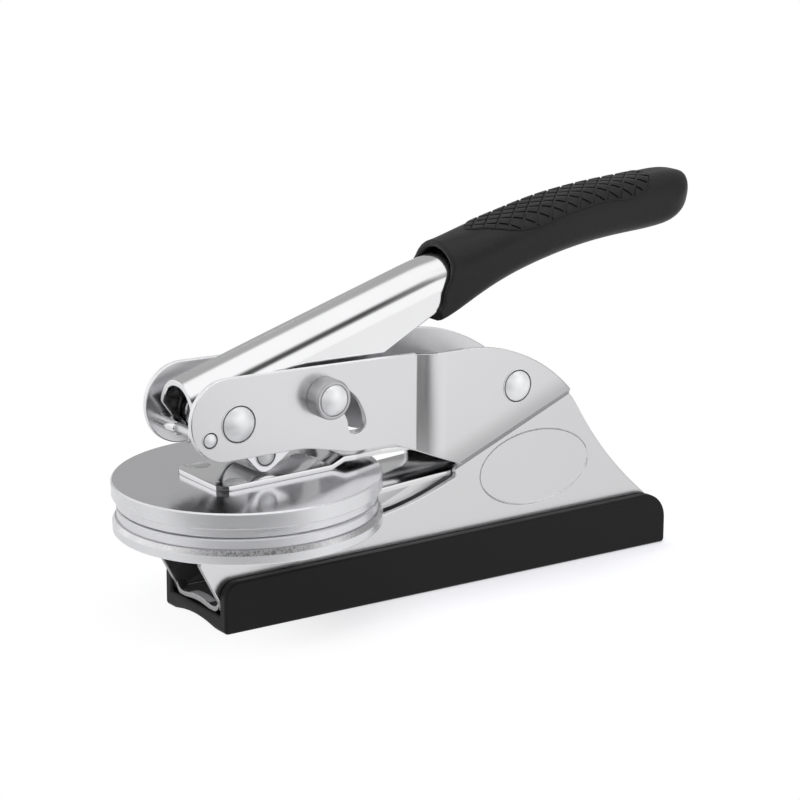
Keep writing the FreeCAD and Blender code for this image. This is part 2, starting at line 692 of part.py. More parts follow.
def make_headed_pin(label, x, z, shank, seat, head, dome):
    """Pin across the tool with a domed head on each end, as expressions."""
    body = new_body(label)
    profile = new_sketch(body, "YZ_Plane", label + "_profile")
    draw_polygon(profile, [
        ("-(%s) - (%s)" % (seat, dome), "0"),
        ("(%s) + (%s)" % (seat, dome), "0"),
        ("(%s) + 0.92 * (%s)" % (seat, dome), "0.45 * (%s)" % head),
        ("(%s) + 0.62 * (%s)" % (seat, dome), "0.8 * (%s)" % head),
        ("(%s) + 0.15 * (%s)" % (seat, dome), head),
        (seat, head),
        (seat, shank),
        ("-(%s)" % seat, shank),
        ("-(%s)" % seat, head),
        ("-(%s) - 0.15 * (%s)" % (seat, dome), head),
        ("-(%s) - 0.62 * (%s)" % (seat, dome), "0.8 * (%s)" % head),
        ("-(%s) - 0.92 * (%s)" % (seat, dome), "0.45 * (%s)" % head),
    ])
    revolve(body, profile, "Y_Axis", label + "_turned")
    place_body(body, x, z)
    return body


def make_tube(label, x, z, outer, inner, length):
    body = new_body(label)
    ring = new_sketch(body, "XZ_Plane", label + "_ring")
    draw_circle(ring, "0", "0", outer)
    draw_circle(ring, "0", "0", inner)
    pad(body, ring, length, label + "_wall")
    place_body(body, x, z)
    return body


def make_rivets():
    cheek = "Sizes.channel_width / 2"
    hump = "Sizes.channel_width / 2 + Sizes.hump_step"
    make_headed_pin("pivot_rivet", "Sizes.pivot_x", "Sizes.pivot_z", "Sizes.pivot_shank",
                    cheek, "Sizes.pivot_head", "Sizes.pivot_dome")
    make_headed_pin("front_cross_rod", "Sizes.rod_x", "Sizes.rod_z", "Sizes.rod_shank",
                    cheek, "Sizes.rod_head", "Sizes.rod_dome")
    make_headed_pin("rear_rivet", "Sizes.rear_x", "Sizes.rear_z", "Sizes.rear_shank",
                    hump, "Sizes.rear_head", "Sizes.rear_dome")
    make_tube("rear_spacer", "Sizes.rear_x", "Sizes.rear_z", "Sizes.rear_tube",
              "Sizes.rear_shank",
              "Sizes.channel_width + 2 * Sizes.hump_step - 2 * Sizes.sheet")


# ---------------------------------------------------------------------------
# Spring insert: dies and holders on two leaves, joined by a hairpin bend
# ---------------------------------------------------------------------------

def arm_placement(foot):
    """Placement of a piece drawn about the disc axis on a tilted arm.

    The pieces of both arms lean about the axis at the gap between the dies."""
    tilt = Rotation(Y_AXIS, -size("disc_tilt"))
    return Placement(Vector(size("disc_x"), 0, foot), tilt)


def local_height(z):
    """Height above the disc axis' own zero, which is the foot of the stack."""
    return z - size("disc_foot")


def disc_solid(radius, foot, top, bevel_in=0.0, bevel_down=0.0):
    """Turned disc in the stack's own coordinates, with a bevelled top edge."""
    low, high = local_height(foot), local_height(top)
    spots = [side(0, low), side(radius, low), side(radius, high - bevel_down),
             side(radius - bevel_in, high), side(0, high)]
    if bevel_in == 0:
        del spots[3]
        spots[2] = side(radius, high)
    face = Part.Face(Part.makePolygon(spots + spots[:1]))
    return face.revolve(Vector(), Z_AXIS, 360)


def leaf_plan(extra):
    """Plan view of a leaf: wide on the dies, necked down between the walls."""
    wide, slim = size("leaf_width") / 2 + extra, size("leaf_tail_width") / 2 + extra
    front, corner = size("leaf_front") + extra, size("leaf_corner")
    tail = size("hairpin_x") - size("disc_x") + spare
    bend = size("leaf_neck_round")
    upright = Rotation(Vector(1, 0, 0), -90)
    outline = rounded_outline([
        (-front, -wide, corner), (size("neck_start"), -wide, bend),
        (size("neck_end"), -slim, bend), (tail, -slim), (tail, slim),
        (size("neck_end"), slim, bend), (size("neck_start"), wide, bend),
        (-front, wide, corner),
    ])
    outline.Placement = Placement(Vector(), upright)
    outline.translate(Vector(0, 0, -2 * spare))
    return outline.extrude(Vector(0, 0, 5 * spare))


def arm_local(x, z):
    """Side point of the open tool in the tilted coordinates of the stack."""
    tilt = math.radians(size("disc_tilt"))
    reach, rise = x - size("disc_x"), z - size("disc_foot")
    return (reach * math.cos(tilt) + rise * math.sin(tilt),
            rise * math.cos(tilt) - reach * math.sin(tilt))


def leaf_strip(spine):
    """Side view of a leaf from the mid points of its bends, cut to the plan."""
    half = size("leaf_thick") / 2
    above = [(x, z + half) for x, z in spine]
    below = [(x, z - half) for x, z in reversed(spine)]
    bend = size("leaf_bend_round")
    corners = [(x, z, bend) for x, z in above[1:-1]]
    corners = [above[0]] + corners + [above[-1], below[0]]
    corners += [(x, z, bend) for x, z in below[1:-1]] + [below[-1]]
    strip = across(rounded_outline(corners), size("leaf_width"))
    return strip.common(leaf_plan(0.0))


def upper_leaf_spine():
    """Mid line of the upper leaf in the stack's own coordinates."""
    flat = local_height(upper_leaf_foot) + size("leaf_thick") / 2
    raised = flat + size("joggle_rise")
    end = arm_local(size("hairpin_x") - size("leaf_end_gap"), upper_hinge_z)
    return [(-size("leaf_front"), flat), (size("joggle_start"), flat),
            (size("joggle_end"), raised), end]


def lower_leaf_spine():
    flat = local_height(lower_die_foot) + size("leaf_thick") / 2
    end = arm_local(size("hairpin_x") - size("leaf_end_gap"), lower_hinge_z)
    return [(-size("leaf_front"), flat), (die_radius + size("kink_gap"), flat), end]


def leaf_rivet_spots():
    """Places of a leaf's rivets about the disc axis: (x, y, radius)."""
    ahead, aside = -size("front_rivet_ahead"), size("front_rivet_side")
    radius = size("front_rivet_radius")
    return [(ahead, -aside, radius), (ahead, aside, radius),
            (size("rear_rivet_behind"), 0.0, size("rear_rivet_radius"))]


def leaf_rivets(foot, top):
    """One upright cylinder for each rivet of a leaf."""
    pieces = []
    for x, y, radius in leaf_rivet_spots():
        pieces.append(Part.makeCylinder(radius, top - foot,
                                        Vector(x, y, local_height(foot)), Z_AXIS))
    return Part.makeCompound(pieces)


def make_upper_arm():
    place = arm_placement(size("disc_foot"))
    rivets = leaf_rivets(upper_leaf_foot - size("leaf_rivet_grip"), leaf_top)
    leaf = leaf_strip(upper_leaf_spine()).cut(rivets)
    holder = disc_solid(size("disc_radius"), upper_holder_foot, upper_leaf_foot,
                        size("holder_bevel"), size("holder_bevel")).cut(rivets)
    die = disc_solid(die_radius, upper_die_foot, upper_holder_foot)
    add_shape("upper_leaf", leaf, place)
    add_shape("upper_die_holder", holder, place)
    add_shape("upper_die", die, place)
    add_shape("upper_leaf_rivets", rivets, place)


def make_lower_arm():
    place = arm_placement(size("disc_foot"))
    leaf_foot = lower_die_foot
    rivets = leaf_rivets(leaf_foot - size("leaf_rivet_grip"), leaf_foot + size("leaf_thick"))
    leaf = leaf_strip(lower_leaf_spine())
    holder = disc_solid(size("disc_radius"), size("disc_foot"), lower_die_foot,
                        size("knurl_inset"), size("knurl_band")).cut(rivets)
    # the lower leaf lies in a slot across the underside of the lower die
    slot_top = leaf_foot + size("leaf_thick")
    slot = leaf_plan(0.0).common(disc_solid(size("disc_radius"), leaf_foot, slot_top))
    die = disc_solid(die_radius, lower_die_foot,
                     lower_die_foot + size("lower_die_thick")).cut(slot)
    add_shape("lower_leaf", leaf.cut(rivets), place)
    add_shape("lower_die_holder", holder, place)
    add_shape("lower_die", die, place)
    add_shape("lower_leaf_rivets", rivets, place)


def make_hairpin_bend():
    """Bend of the spring strip, a push fit between the walls."""
    half = size("leaf_thick") / 2
    x, z, radius = size("hairpin_x"), size("hairpin_z"), size("hairpin_radius")
    stub = x + size("hairpin_stub")
    outer, inner = radius + half, radius - half
    edges = [
        Part.LineSegment(side(x, z + outer), side(stub, z + outer)).toShape(),
        Part.Arc(side(stub, z + outer), side(stub + outer, z), side(stub, z - outer)).toShape(),
        Part.LineSegment(side(stub, z - outer), side(x, z - outer)).toShape(),
        Part.LineSegment(side(x, z - outer), side(x, z - inner)).toShape(),
        Part.LineSegment(side(x, z - inner), side(stub, z - inner)).toShape(),
        Part.Arc(side(stub, z - inner), side(stub + inner, z), side(stub, z + inner)).toShape(),
        Part.LineSegment(side(stub, z + inner), side(x, z + inner)).toShape(),
        Part.LineSegment(side(x, z + inner), side(x, z + outer)).toShape(),
    ]
    bend = across(Part.Face(Part.Wire(edges)), half_channel - size("sheet"))
    add_shape("hairpin_bend", bend)


# ---------------------------------------------------------------------------
# Slide: a pin with two ringed knobs, and the slots that lead it
# ---------------------------------------------------------------------------

def slide_spot(share):
    """Centre of the slide pin after a share of its travel."""
    angle = math.radians(size("slot_start_angle") - share * size("slot_swing_angle"))
    return (size("slot_x") + size("slot_radius") * math.cos(angle),
            size("slot_z") + size("slot_radius") * math.sin(angle))


def cam_spot(share):
    """The same centre as seen from the lever, about the lever's pivot."""
    x, z = slide_spot(share)
    return turned(x - size("pivot_x"), z - size("pivot_z"), -share * size("lever_travel_angle"))


def circle_through(first, second, third):
    """Centre and radius of the circle through three side points."""
    ax, az = second[0] - first[0], second[1] - first[1]
    bx, bz = third[0] - first[0], third[1] - first[1]
    twice = 2 * (ax * bz - az * bx)
    reach_a, reach_b = ax * ax + az * az, bx * bx + bz * bz
    cx = (bz * reach_a - az * reach_b) / twice
    cz = (ax * reach_b - bx * reach_a) / twice
    return first[0] + cx, first[1] + cz, math.hypot(cx, cz)


def cam_slot(depth):
    """Slot in the lever's walls that the slide pin follows down the stroke."""
    start, middle, end = cam_spot(0.0), cam_spot(0.5), cam_spot(1.0)
    x, z, radius = circle_through(start, middle, end)
    angles = [math.degrees(math.atan2(spot[1] - z, spot[0] - x)) for spot in (start, end)]
    slot = arc_slot(x, z, radius, size("slot_half_width") + size("slide_clearance"),
                    angles[0], angles[1], depth)
    slot.translate(side(size("pivot_x"), size("pivot_z")))
    return slot


def make_slide():
    x, z = slide_spot(0.0)
    cheek = half_channel + size("side_clearance")
    reach = half_channel + size("knob_reach") - size("knob_cap_rise")
    pin = Part.makeCylinder(slide_pin_radius, 2 * reach, Vector(0, -reach, 0), Y_AXIS)
    place = Placement(side(x, z), Rotation())
    add_shape("slide_pin", pin, place)
    knobs = []
    for sign in (-1, 1):
        ring_height = reach - cheek
        spots = [side(slide_pin_radius, 0), side(size("knob_radius"), 0),
                 side(size("knob_radius"), ring_height - size("knob_bevel")),
                 side(size("knob_radius") - size("knob_bevel"), ring_height),
                 side(slide_pin_radius, ring_height)]
        ring = Part.Face(Part.makePolygon(spots + spots[:1])).revolve(Vector(), Z_AXIS, 360)
        cap, rise = size("knob_cap"), size("knob_cap_rise")
        ball = (cap * cap + rise * rise) / (2 * rise)
        dome = Part.makeSphere(ball, Vector(0, 0, ring_height + rise - ball))
        above = Part.makeBox(4 * cap, 4 * cap, 2 * rise, Vector(-2 * cap, -2 * cap, ring_height))
        knob = ring.fuse(dome.common(above))
        knob.rotate(Vector(), Vector(1, 0, 0), -90 * sign)
        knob.translate(Vector(0, sign * cheek, 0))
        knobs.append(knob)
    add_shape("slide_knobs", Part.makeCompound(knobs), place)


# ---------------------------------------------------------------------------
# Lever, its bush, roller and pin
# ---------------------------------------------------------------------------

def crown_line():
    """Top line of the lever from ahead of its front to behind its tang."""
    front = (size("lever_front"), size("lever_front_top"))
    knee = (size("lever_knee_x"), size("lever_knee_z"))
    collar = (size("lever_collar_x"), size("lever_collar_z"))
    tang = (size("tang_end"), size("tang_top"))
    shoulder = (size("tang_bend_x"), size("tang_bend_top"))
    sweep = size("crown_sweep")
    ahead = line_height(front[0] - spare / 10, front, knee)
    behind = line_height(tang[0] + spare / 10, shoulder, tang)
    return [(front[0] - spare / 10, ahead), knee + (sweep,), collar + (sweep,),
            shoulder + (sweep,), (tang[0] + spare / 10, behind)]


def arch(half, setback, depth, radius):
    """Solid under the crown line: a section with a rounded crown, swept."""
    line = crown_line()
    path = Part.Wire(rounded_edges(line, 0.0, False))
    slope = math.degrees(math.atan2(line[1][1] - line[0][1], line[1][0] - line[0][0]))
    section = rounded_outline([(-half, -depth), (-half, -setback, radius),
                               (half, -setback, radius), (half, -depth)]).OuterWire
    section.rotate(Vector(), Z_AXIS, 90)
    section.rotate(Vector(), Y_AXIS, -slope)
    section.translate(side(line[0][0], line[0][1]))
    return path.makePipeShell([section], True, False)


def ear_flank(x, z):
    """Rise of the line from a side point that touches the ear's round."""
    reach = math.hypot(x - size("roller_x"), z - roller_z)
    return (math.atan2(z - roller_z, abs(x - size("roller_x")))
            + math.asin(size("ear_radius") / reach))


def lever_outline():
    """Side view of the lever's walls, taller than the crown that closes them."""
    ear, ear_x, ear_low = size("ear_radius"), size("roller_x"), roller_z - size("ear_radius")
    pivot_low = size("pivot_z") - size("pivot_boss")
    above = size("tang_top") + spare
    haunch = (size("haunch_x"), size("haunch_z"))
    chin = (size("pivot_x") + size("chin_behind"), pivot_low)
    behind, ahead = ear_flank(*haunch), ear_flank(*chin)
    return rounded_outline([
        (size("lever_front"), size("lever_front_low"), size("wall_round")),
        (size("lever_front"), above),
        (size("tang_end"), above),
        (size("tang_end"), size("tang_low"), size("wall_round")),
        (size("tang_bend_x"), size("tang_bend_low"), size("tang_sweep")),
        (size("flange_bend_x"), size("flange_bend_z"), size("flange_sweep")),
        haunch + (size("haunch_round"),),
        (ear_x + ear * math.tan(behind / 2), ear_low, 0.98 * ear),
        (ear_x - ear * math.tan(ahead / 2), ear_low, 0.98 * ear),
        chin + (size("chin_round"),),
        (size("pivot_x") - size("jaw_ahead"), pivot_low + size("jaw_rise"),
         size("jaw_round")),
    ])


def lever_block():
    """The lever's outside as a full solid."""
    outside = arch(lever_half, 0.0, 1.3 * spare, size("lever_round"))
    return outside.common(across(lever_outline(), 2 * lever_half))


def make_lever():
    """Folded arch: the block less the space between its walls."""
    sheet_metal = size("lever_sheet")
    inside = arch(lever_half - sheet_metal, sheet_metal, 1.4 * spare,
                  size("lever_round") - sheet_metal)
    lever = lever_block().cut(inside)
    depth = 2 * lever_half
    hook_x = size("pivot_x") + size("spring_leg_x")
    hook_z = size("pivot_z") + size("spring_leg_z")
    for x, z, radius in ((size("pivot_x"), size("pivot_z"), size("bush_radius")),
                         (size("roller_x"), roller_z, size("roller_pin")),
                         (hook_x, hook_z, size("wire_radius"))):
        lever = lever.cut(cross_cylinder(x, z, radius, depth))
    add_shape("lever", lever.cut(cam_slot(depth)))


def make_lever_pins():
    make_tube("pivot_bush", "Sizes.pivot_x", "Sizes.pivot_z", "Sizes.bush_radius",
              "Sizes.pivot_shank + Sizes.running_clearance",
              "Sizes.channel_width - 2 * Sizes.sheet - 2 * Sizes.side_clearance")
    roller_height = ("Sizes.disc_foot + Sizes.lower_holder_thick + Sizes.lower_die_thick"
                     " + Sizes.die_gap + Sizes.upper_die_thick + Sizes.upper_holder_thick"
                     " + Sizes.leaf_thick + Sizes.roller_clearance + Sizes.roller_radius")
    make_headed_pin("roller_pin", "Sizes.roller_x", roller_height, "Sizes.roller_pin",
                    "Sizes.lever_width / 2", "Sizes.roller_pin_head", "Sizes.roller_pin_dome")
    make_tube("press_roller", "Sizes.roller_x", roller_height, "Sizes.roller_radius",
              "Sizes.roller_pin + Sizes.running_clearance", "Sizes.roller_length")


# ---------------------------------------------------------------------------
# Return spring: a coil round the bush and two legs
# ---------------------------------------------------------------------------

def wire_along(edges, at, direction):
    """Round wire swept along a chain of tangent edges."""
    path = Part.Wire(edges)
    ring = Part.Wire([Part.Circle(at, direction, size("wire_radius")).toShape()])
    return path.makePipeShell([ring], True, True)


def make_springs():
    wire = size("wire_radius")
    coil = size("bush_radius") + size("coil_clearance") + wire
    pitch, turns = size("coil_pitch"), size("coil_turns")
    px, pz = size("pivot_x"), size("pivot_z")
    start_y = -turns * pitch / 2

    helix = Part.makeHelix(pitch, turns * pitch, coil)
    rising = Vector(0, 2 * math.pi * coil, pitch)
    ring = Part.Wire([Part.Circle(Vector(coil, 0, 0), rising, wire).toShape()])
    body = Part.Wire(helix.Edges).makePipeShell([ring], True, True)
    # stand the helix across the tool with both ends under the pivot
    body.rotate(Vector(), Vector(1, 0, 0), -90)
    body.rotate(Vector(), Y_AXIS, 90)
    body.translate(Vector(px, start_y, pz))

    # front leg: straight from the bottom of the coil to under the cross rod
    under_rod = size("rod_z") - size("rod_shank") - wire - 0.05
    leg_start = side(px, pz - coil, start_y)
    leg_end = side(size("rod_x") - 1.0, under_rod, start_y)
    along = leg_end - leg_start
    bend = Part.makeSphere(wire + size("bend_swell"), leg_start)
    leg = Part.makeCylinder(wire, along.Length, leg_start, along)
    add_shape("return_spring", body.fuse(bend).fuse(leg))

    # rear leg: a half turn beside the coil, a straight run and a hook in the wall
    arm_y = start_y + turns * pitch + 2 * wire + 0.3
    hook = side(px + size("spring_leg_x"), pz + size("spring_leg_z"), arm_y)
    reach = math.hypot(size("spring_leg_x"), size("spring_leg_z"))
    heading = math.atan2(size("spring_leg_z"), size("spring_leg_x"))
    leave = heading - math.acos(coil / reach)

    def on_coil(angle):
        return side(px + coil * math.cos(angle), pz + coil * math.sin(angle), arm_y)

    begin = leave - math.pi * 0.75
    arc = Part.Arc(on_coil(begin), on_coil((begin + leave) / 2), on_coil(leave)).toShape()
    run = Part.LineSegment(on_coil(leave), hook).toShape()
    tangent = Vector(-math.sin(begin), 0, math.cos(begin))
    arm = wire_along([arc, run], on_coil(begin), tangent)
    elbow = Part.makeSphere(wire, hook)
    prong = Part.makeCylinder(wire, lever_half - arm_y, hook, Y_AXIS)
    add_shape("spring_arm", arm.fuse(elbow).fuse(prong))


# ---------------------------------------------------------------------------
# Grip
# ---------------------------------------------------------------------------

def grip_section(x, top, low, half, lean=0.0):
    """Section of the grip, across the tool: round above, flatter below.

    A leaning section has its top further from the mouth than its foot."""
    rise = top - low
    crown = min(0.97 * half, 0.6 * rise)
    belly = min(0.36 * half, 0.38 * rise)
    section = rounded_outline([(-half, low, belly), (half, low, belly),
                               (half, top, crown), (-half, top, crown)]).OuterWire
    section.rotate(Vector(), Z_AXIS, 90)
    section.rotate(Vector(0, 0, (top + low) / 2), Y_AXIS, lean)
    section.translate(Vector(x, 0, 0))
    return section


def grip_body():
    """Solid grip: stations along its length and a rounded end."""
    mouth, length = size("grip_mouth"), size("grip_length")
    slim, wide, tail = (size("grip_mouth_width") / 2, size("grip_width") / 2,
                        size("grip_tail_width") / 2)
    widths = {"neck": (slim + 2 * wide) / 3, "bow": wide, "loin": wide, "waist": wide,
              "back": (2 * wide + tail) / 3, "rise": (wide + 2 * tail) / 3}
    sections = [grip_section(2 * size("lip_x"), size("mouth_top"), size("lip_low"), slim),
                grip_section(mouth, size("mouth_top"), size("mouth_low"), slim)]
    for name in widths:
        sections.append(grip_section(mouth + size(name + "_share") * length,
                                     size(name + "_top"), size(name + "_low"), widths[name]))
    rump = mouth + size("rump_share") * length
    cap = mouth + length - rump
    tip, lean = size("tip_height"), size("tip_lean_angle")
    for share in (0.0, 0.4, 0.68, 0.86, 0.96, 1.0):
        shrink = max(1 - share ** 2.6, 0.03) ** 0.385
        rise = share * size("tip_rise")
        sections.append(grip_section(
            rump + share * cap, tip + rise + (size("rump_top") - tip) * shrink,
            tip + rise - (tip - size("rump_low")) * shrink, tail * shrink,
            lean * (0.5 + share / 2)))
    return Part.makeLoft(sections, True, False)


def grip_front():
    """Space ahead of the grip: upright at the mouth, hollow above the lower lip."""
    high, low = size("mouth_top") + spare, size("lip_low") - spare
    ahead = size("lip_x") - spare
    return across(rounded_outline([
        (ahead, high), (size("grip_mouth"), high),
        (size("grip_mouth"), size("brow_top"), 4 * size("wall_round")),
        (size("brow_x"), size("brow_z"), 4 * size("wall_round")),
        (size("cove_x"), size("cove_z"), size("wall_round")),
        (size("lip_x"), size("lip_z"), size("wall_round") / 4),
        (size("lip_x") + size("wall_round"), size("lip_low"), size("wall_round")),
        (size("brow_x"), low), (ahead, low),
    ]), size("grip_width"))


def socket_mouth():
    """Wider entry of the grip's socket, an arch over the lever's crown."""
    half = lever_half + size("side_clearance")
    section = rounded_outline([
        (-half, size("socket_low")), (half, size("socket_low")),
        (half, size("socket_top"), 0.98 * half), (-half, size("socket_top"), 0.98 * half)])
    section.rotate(Vector(), Z_AXIS, 90)
    section.translate(Vector(size("grip_mouth") - spare, 0, 0))
    return section.extrude(Vector(spare + size("socket_depth"), 0, 0))


def make_grip():
    grip = grip_body().cut(grip_front()).cut(socket_mouth())
    add_shape("grip", grip.cut(lever_block()))


# ---------------------------------------------------------------------------
# Build, check and write
# ---------------------------------------------------------------------------

def check_document():
    for item in doc.Objects:
        if "Invalid" in item.State or "Error" in item.State:
            raise RuntimeError("%s is %s" % (item.Label, item.State))
    for item in PARTS:
        if item.Shape.isNull() or not item.Shape.isValid():
            raise RuntimeError("%s has a faulty shape" % item.Label)
        if item.Shape.Volume <= 0 or not item.Shape.Solids:
            raise RuntimeError("%s is no solid" % item.Label)


def write_parts():
    os.makedirs("parts", exist_ok=True)
    for item in PARTS:
        item.Shape.exportStep(os.path.join("parts", item.Label + ".step"))


def build():
    make_base_shoe()
    make_body_frame()
    make_rivets()
    make_hairpin_bend()
    make_upper_arm()
    make_lower_arm()
    make_lever()
    make_lever_pins()
    make_springs()
    make_slide()
    make_grip()
    doc.recompute()
    check_document()
    write_parts()
    for item in PARTS:
        box = item.Shape.BoundBox
        print("%-18s %d solid(s) %9.2f mm3  x %.2f..%.2f y %.2f..%.2f z %.2f..%.2f" % (
            item.Label, len(item.Shape.Solids), item.Shape.Volume,
            box.XMin, box.XMax, box.YMin, box.YMax, box.ZMin, box.ZMax))


build()
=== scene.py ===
"""Seal embosser: a hand press with a channel frame, a folded lever with a
moulded grip, two dies on spring leaves and a plastic shoe.

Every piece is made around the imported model, in metres, and rides on one of
its bodies. Lengths in the settings are in metres unless their name says so.
"""
import math

import bmesh
import bpy
from bpy.props import FloatProperty, FloatVectorProperty, PointerProperty
from mathutils import Matrix, Vector


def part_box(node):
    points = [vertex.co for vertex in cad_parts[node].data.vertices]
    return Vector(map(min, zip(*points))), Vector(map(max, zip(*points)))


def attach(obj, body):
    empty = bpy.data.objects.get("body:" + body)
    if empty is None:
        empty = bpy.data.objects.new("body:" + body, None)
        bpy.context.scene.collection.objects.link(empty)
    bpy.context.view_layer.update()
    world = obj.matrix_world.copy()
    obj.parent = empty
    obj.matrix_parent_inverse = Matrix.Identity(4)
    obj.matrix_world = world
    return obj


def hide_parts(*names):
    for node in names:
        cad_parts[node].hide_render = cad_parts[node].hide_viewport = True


bl_info = {
    "name": "Seal embosser",
    "version": (1, 0, 0),
    "blender": (4, 5, 0),
    "location": "View3D > Sidebar > Embosser",
    "description": "Builds a hand seal embosser and the table it stands on",
    "category": "Object",
}

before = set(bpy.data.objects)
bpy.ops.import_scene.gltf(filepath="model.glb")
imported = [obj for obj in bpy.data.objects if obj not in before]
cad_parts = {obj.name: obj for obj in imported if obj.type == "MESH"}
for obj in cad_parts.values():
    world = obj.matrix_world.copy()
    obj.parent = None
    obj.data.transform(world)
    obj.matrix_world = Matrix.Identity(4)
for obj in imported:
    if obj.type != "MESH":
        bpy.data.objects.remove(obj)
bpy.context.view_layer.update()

MM = 0.001
# how close two points are before they are made one
SAME_POINT = 0.000001
# angle between faces above which an edge of folded sheet counts as sharp
SHARP = 24.0


# ---------------------------------------------------------------------------
# Settings
# ---------------------------------------------------------------------------

def colour(name, value, meaning):
    return FloatVectorProperty(name=name, description=meaning, default=value,
                               subtype="COLOR", size=3, min=0.0, max=1.0)


def length(name, value, meaning):
    return FloatProperty(name=name, description=meaning, default=value,
                         subtype="DISTANCE", unit="LENGTH", precision=5)


class EmbosserSizes(bpy.types.PropertyGroup):
    """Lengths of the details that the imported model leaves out."""
    sheet_edge: length("Sheet edge", 0.00022, "Break on the edges of the steel sheet")
    fold_round: length("Fold", 0.0021, "Round of the fold between the wall and the hump")
    leaf_edge: length("Leaf edge", 0.00014, "Round along the outline of the leaves")
    shoe_edge: length("Shoe edge", 0.0005, "Round on the edges of the shoe")
    die_edge: length("Die edge", 0.00022, "Bevel on the edges of the dies")
    grip_grid: length("Grip grid", 0.00034, "Spacing of the points on the moulded grip")
    pad_side: length("Grip pads", 0.00243, "Spacing of the grip's square pads")
    pad_gap: length("Pad gap", 0.00050, "Width of the grooves between the pads")
    pad_rise: length("Pad height", 0.00024, "Height of the pads over their grooves")
    patch_bead: length("Patch bead", 0.00020, "Radius of the bead around the pads")


class EmbosserColours(bpy.types.PropertyGroup):
    """Colours of the finishes and of the painted shade, as linear values."""
    nickel: colour("Nickel", (0.79, 0.785, 0.80), "Satin nickel of the frame")
    cut_edge: colour("Cut edge", (0.92, 0.92, 0.93), "Sheared edges of the frame")
    chrome: colour("Chrome", (0.90, 0.90, 0.91), "Polished chrome of the lever")
    leaf: colour("Leaf", (0.86, 0.86, 0.87), "Polished spring leaves")
    die: colour("Die", (0.80, 0.80, 0.82), "Satin metal of the dies")
    rivet: colour("Rivet", (0.86, 0.86, 0.87), "Polished rivets")
    # painted shade: this near black stands for the shade inside the channel, on the top of the
    # slanted strip, in the rivets' grooves and on the lip
    inside: colour("Inside", (0.12, 0.12, 0.12), "Dull inner side of the channel")
    steel: colour("Steel", (0.50, 0.50, 0.51), "Plain steel inside the press")
    knob: colour("Knob", (0.66, 0.655, 0.67), "Grey rings of the slide's knobs")
    plastic: colour("Plastic", (0.008, 0.008, 0.0086), "Moulded plastic of the grip")
    shoe: colour("Shoe", (0.005, 0.005, 0.0055), "Moulded plastic of the shoe")
    table: colour("Table", (0.93, 0.93, 0.94), "Pale table")


# ---------------------------------------------------------------------------
# Selecting and finishing
# ---------------------------------------------------------------------------

def take(piece):
    """Make a piece the only selected and active object."""
    if bpy.context.object and bpy.context.object.mode != "OBJECT":
        bpy.ops.object.mode_set(mode="OBJECT")
    bpy.ops.object.select_all(action="DESELECT")
    piece.select_set(True)
    bpy.context.view_layer.objects.active = piece
    return piece


def edit(piece):
    take(piece)
    bpy.ops.object.mode_set(mode="EDIT")


def leave():
    bpy.ops.object.mode_set(mode="OBJECT")


def choose(piece, kind, test):
    """In edit mode, select only the faces or edges that pass a test."""
    bpy.ops.mesh.select_mode(type={"faces": "FACE", "edges": "EDGE"}[kind])
    bpy.ops.mesh.select_all(action="DESELECT")
    mesh = bmesh.from_edit_mesh(piece.data)
    mesh.normal_update()
    for item in getattr(mesh, kind):
        if test(item):
            item.select_set(True)
    mesh.select_flush_mode()
    bmesh.update_edit_mesh(piece.data)


def add_modifier(piece, kind, **values):
    modifier = piece.modifiers.new(kind.title(), kind)
    for name, value in values.items():
        setattr(modifier, name, value)
    return modifier


def apply_modifiers(piece):
    take(piece)
    for modifier in list(piece.modifiers):
        bpy.ops.object.modifier_apply(modifier=modifier.name)


def smooth(piece, degrees=30.0):
    take(piece)
    bpy.ops.object.shade_smooth_by_angle(angle=math.radians(degrees))


def copy_of(node, name):
    """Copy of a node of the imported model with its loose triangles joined."""
    piece = bpy.data.objects.new(name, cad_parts[node].data.copy())
    bpy.context.scene.collection.objects.link(piece)
    piece.data.materials.clear()
    edit(piece)
    bpy.ops.mesh.select_all(action="SELECT")
    bpy.ops.mesh.remove_doubles(threshold=0.000004)
    bpy.ops.mesh.dissolve_degenerate(threshold=0.000002)
    leave()
    return piece


def merge_flats():
    """In edit mode, make one face of the triangles that lie in one plane."""
    bpy.ops.mesh.select_all(action="SELECT")
    bpy.ops.mesh.dissolve_limited(angle_limit=math.radians(0.4), delimit={"NORMAL"})


def keep_flats(piece):
    """Weigh the normals by area, so that flats stay flat beside their rounds."""
    add_modifier(piece, "WEIGHTED_NORMAL", keep_sharp=True, weight=80)
    apply_modifiers(piece)


def break_edges(piece, width):
    """Small round along every sharp edge of a piece."""
    edit(piece)
    merge_flats()
    leave()
    add_modifier(piece, "BEVEL", width=width, segments=2, limit_method="ANGLE",
                 angle_limit=math.radians(SHARP), use_clamp_overlap=False)
    apply_modifiers(piece)
    smooth(piece, SHARP - 4.0)


def round_outline(piece, width, spared, segments=2, degrees=50.0):
    """Round a piece's sharp edges except those with an end in a spared place."""
    edit(piece)
    merge_flats()
    choose(piece, "edges", lambda edge: (
        len(edge.link_faces) == 2 and edge.calc_face_angle(0.0) > math.radians(degrees)
        and not any(spared(end.co / MM) for end in edge.verts)))
    bpy.ops.mesh.bevel(offset=width, segments=segments, affect="EDGES", clamp_overlap=False)
    leave()
    smooth(piece, 30.0)


def draw_line(name, points):
    """Line through points, drawn by extruding one point, and left in edit mode."""
    bpy.ops.object.select_all(action="DESELECT")
    bpy.ops.mesh.primitive_plane_add(size=MM, location=(0, 0, 0))
    piece = bpy.context.object
    piece.name = name
    bpy.ops.object.mode_set(mode="EDIT")
    bpy.ops.mesh.select_mode(type="VERT")
    bpy.ops.mesh.select_all(action="SELECT")
    bpy.ops.mesh.merge(type="CENTER")
    bpy.ops.transform.translate(value=points[0])
    for before, after in zip(points, points[1:]):
        bpy.ops.mesh.extrude_region_move(TRANSFORM_OT_translate={"value": after - before})
    bpy.ops.mesh.select_all(action="SELECT")
    return piece


